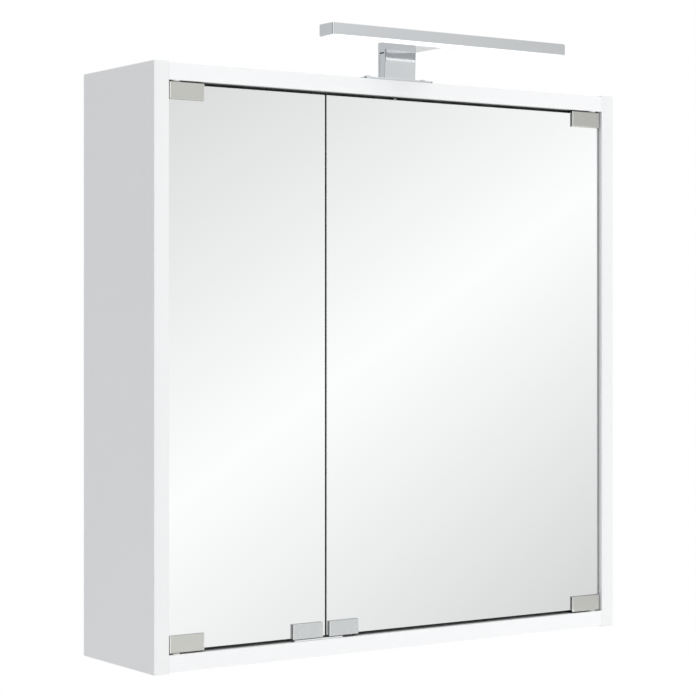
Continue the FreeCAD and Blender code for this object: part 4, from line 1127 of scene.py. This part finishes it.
def makeHangers():
    low, high = islands("hanger_bodies")[0]
    body = startBox("hanger_cases", low, high)
    bevelEdges(body, hangerForm["round"], 4, edgesAt("x", high.x))
    cutters = []
    for a, b in islands("hanger_adjusters"):
        if a.x < 0:
            cutters.append(rodAlong("y", hangerForm["adjuster"], (a + b) / 2, low.y - past,
                                    low.y + hangerForm["adjusterDepth"]))
    for a, b in islands("hanger_screws"):
        if a.x < 0:
            cutters.append(rodAlong("x", hangerForm["screwHead"], (a + b) / 2, high.x - 2 * mm, high.x + past))
    carve(body, cutters)
    easeEdges(body, 0.2 * mm, 2, 50)
    other = copyPiece(body, "other_hanger", (-1, 1, 1))
    tidyMesh(other)
    pair = joinPieces([body, other], "hanger_cases")
    complete(pair, "hanger_bodies", ["mouldedNylon"])


makeHangers()
print("hangers made")


# LED driver under the top board: a snapped two-part case with a blank rating plate

driverForm = {
    "round": 3 * mm,
    "joint": 0.5 * mm,
    "jointDepth": 0.6 * mm,
    "ear": 2.5 * mm,
    "earLength": 8 * mm,
    "earHalf": 10 * mm,
    "screwHole": 1.85 * mm,
    "plateRise": 0.25 * mm,
    "plateHalf": 32 * mm,
    "plateMargin": 7 * mm,
    "plateSink": 0.2 * mm,
}


def makeDriver():
    low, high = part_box("led_driver")
    front, back = low.y + driverForm["earLength"], high.y - driverForm["earLength"]
    bodyLow = low.z + driverForm["plateRise"]
    body = startBox("driver_case", (low.x, front, bodyLow), (high.x, back, high.z))
    bevelEdges(body, driverForm["round"], 5, lambda a, b: not (near(a.z, high.z) and near(b.z, high.z)))
    level = (bodyLow + high.z) / 2
    ring = startBox("joint", (low.x - past, front - past, level),
                    (high.x + past, back + past, level + driverForm["joint"]))
    deep = driverForm["jointDepth"]
    core = startBox("core", (low.x + deep, front + deep, level - past),
                    (high.x - deep, back - deep, level + past))
    carve(ring, [core])
    carve(body, [ring])
    easeEdges(body, 0.15 * mm, 2, 60)
    middle = (low.x + high.x) / 2
    half = driverForm["earHalf"]
    tabs = startBox("tabs", (middle - half, low.y, high.z - driverForm["ear"]), (middle + half, high.y, high.z))
    bevelEdges(tabs, driverForm["round"], 5, edgesAlong("z"))
    carve(tabs, [rodAlong("z", driverForm["screwHole"], (a + b) / 2, low.z, high.z + past, 32)
                 for a, b in islands("led_driver_screws")])
    easeEdges(tabs, 0.3 * mm, 2, 50)
    half, margin = driverForm["plateHalf"], driverForm["plateMargin"]
    plate = startBox("plate", (middle - half, front + margin, low.z),
                     (middle + half, back - margin, bodyLow + driverForm["plateSink"]))
    easeEdges(plate, 0.1 * mm, 2)
    case = joinPieces([body, tabs, plate], "driver_case")
    complete(case, "led_driver", ["mouldedWhiteAbs"])


makeDriver()
print("driver made")


# Switch and socket box on the right side board

boxForm = {
    "wall": 2.2 * mm,
    "round": 3 * mm,
    "coverRound": 1.5 * mm,
    "windowGap": 0.7 * mm,
    "rockerWidth": 20 * mm,
    "rockerHeight": 28 * mm,
    "rockerDepth": 8 * mm,
    "pivotDepth": 5 * mm,
    "swing": 7,  # degrees
    "well": 19.5 * mm,
    "wellDepth": 17 * mm,
    "contact": 2.6 * mm,
    "contactSpacing": 19 * mm,
    "leadWay": 2.9 * mm,
    "leadFromWall": 60 * mm,
    "glandWay": 6.05 * mm,
    "socketWay": 21.75 * mm,
    "edgeRound": 0.8 * mm,
    "pin": 1.45 * mm,
    "pinReach": 2.5 * mm,
    "springHalf": 2.2 * mm,
    "springThick": 1.2 * mm,
}


def makeBoxHousing():
    low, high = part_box("switch_box_housing")
    case = startBox("switch_case", low, high)
    bevelEdges(case, boxForm["round"], 5, lambda a, b: near(a.x, low.x) and near(b.x, low.x)
               and not (near(a.y, low.y) and near(b.y, low.y)))
    wall = boxForm["wall"]
    centre = (low + high) / 2
    carve(case, [
        startBox("room", (low.x + wall, low.y - wall, low.z + wall), (high.x - wall, high.y - wall, high.z - wall)),
        rodAlong("z", boxForm["leadWay"], (centre.x, -boxForm["leadFromWall"], 0), high.z - 5 * mm, high.z + past),
        rodAlong("z", boxForm["glandWay"], centre, low.z - past, low.z + 5 * mm)])
    complete(case, "switch_box_housing", ["mouldedWhiteAbs"])


def makeBoxCover():
    low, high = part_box("switch_box_cover")
    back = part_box("switch_box_housing")[0].y
    centreX = (low.x + high.x) / 2
    socketZ, rockerZ = [sum(corner.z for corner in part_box(node)) / 2 for node in ("socket_insert", "switch_rocker")]
    plate = startBox("switch_cover", low, (high.x, back, high.z))
    bevelEdges(plate, boxForm["coverRound"], 5, edgesAt("y", low.y))
    halfX = boxForm["rockerWidth"] / 2 + boxForm["windowGap"]
    halfZ = boxForm["rockerHeight"] / 2 + boxForm["windowGap"]
    carve(plate, [
        startBox("window", (centreX - halfX, low.y - past, rockerZ - halfZ),
                 (centreX + halfX, back + past, rockerZ + halfZ)),
        rodAlong("y", boxForm["socketWay"], (centreX, 0, socketZ), low.y - past, back + past, 96)])
    easeEdges(plate, 0.25 * mm, 2, 60)
    complete(plate, "switch_box_cover", ["mouldedWhiteAbs"])
    return centreX, low.y, socketZ, rockerZ


def makeRocker(centreX, face, rockerZ):
    half, deep = boxForm["rockerHeight"] / 2, boxForm["rockerDepth"]
    crown = half * math.tan(math.radians(boxForm["swing"]))
    pivot = boxForm["pivotDepth"]
    wide = boxForm["rockerWidth"] / 2
    rocker = startBox("light_rocker", (-wide, -crown - pivot, -half), (wide, deep - crown - pivot, half))
    splitAt(rocker, (0, 0, 0), alongZ)
    choose(rocker, "VERT", lambda spot: near(spot.z, 0))
    bpy.ops.transform.translate(value=(0, crown, 0))
    closeEdit()
    choose(rocker, "VERT", lambda spot: spot.y > 0 and abs(spot.z) > half / 2)
    bpy.ops.transform.resize(value=(1, 1, 1 - crown / half), center_override=(0, 0, 0))
    closeEdit()
    bevelEdges(rocker, boxForm["edgeRound"], 4,
               lambda a, b: a.y < 0 and b.y < 0 and not (near(a.z, 0) and near(b.z, 0)))
    reach = wide + boxForm["pinReach"]
    pins = rodAlong("x", boxForm["pin"], (0, 0, 0), -reach, reach, 32, "pins")
    rocker = joinPieces([rocker, pins], "light_rocker")
    rocker.rotation_euler = (math.radians(boxForm["swing"]), 0, 0)
    rocker.location = (centreX, face + pivot, rockerZ)
    settle(rocker)
    complete(rocker, "switch_rocker", ["mouldedWhiteAbs"], body="rocker")


def makeSocket(centreX, face, socketZ):
    low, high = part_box("socket_insert")
    middle = Vector((centreX, 0, socketZ))
    rim = rodAlong("y", (high.x - low.x) / 2, middle, low.y, face, 96, "socket_cup")
    bevelEdges(rim, boxForm["edgeRound"], 4, edgesAt("y", low.y))
    cup = rodAlong("y", boxForm["well"] + boxForm["wall"], middle, face - 0.2 * mm, high.y, 96)
    bottom = face + boxForm["wellDepth"]
    well = rodAlong("y", boxForm["well"], middle, low.y - past, bottom, 96)
    secondWell = copyPiece(well, "second_well")
    carve(rim, [well])
    offset = Vector((boxForm["contactSpacing"] / 2, 0, 0))
    contacts = [rodAlong("y", boxForm["contact"], middle + side * offset, bottom - past, high.y + past)
                for side in (-1, 1)]
    carve(cup, [secondWell, joinPieces(contacts, "contacts")])
    socket = joinPieces([rim, cup], "socket_cup")
    easeEdges(socket, 0.2 * mm, 2, 60)
    springs = []
    half = boxForm["springHalf"]
    for side in (-1, 1):
        outer = socketZ + side * boxForm["well"]
        inner = outer - side * boxForm["springThick"]
        springs.append(startBox("spring", (centreX - half, face + 2 * mm, min(outer, inner)),
                                (centreX + half, bottom, max(outer, inner))))
        easeEdges(springs[-1], 0.3 * mm)
    socket = joinPieces([socket, *springs], "socket_cup")
    complete(socket, "socket_insert", ["mouldedWhiteAbs", "passivatedZincSteel"],
             [lambda centre, way: abs(centre.x - centreX) < 2.3 * mm and centre.y > face + 1.8 * mm
           and boxForm["well"] - 1.4 * mm < abs(centre.z - socketZ) < boxForm["well"] - 0.1 * mm])


makeBoxHousing()
centreX, face, socketZ, rockerZ = makeBoxCover()
makeRocker(centreX, face, rockerZ)
makeSocket(centreX, face, socketZ)
print("switch box made")
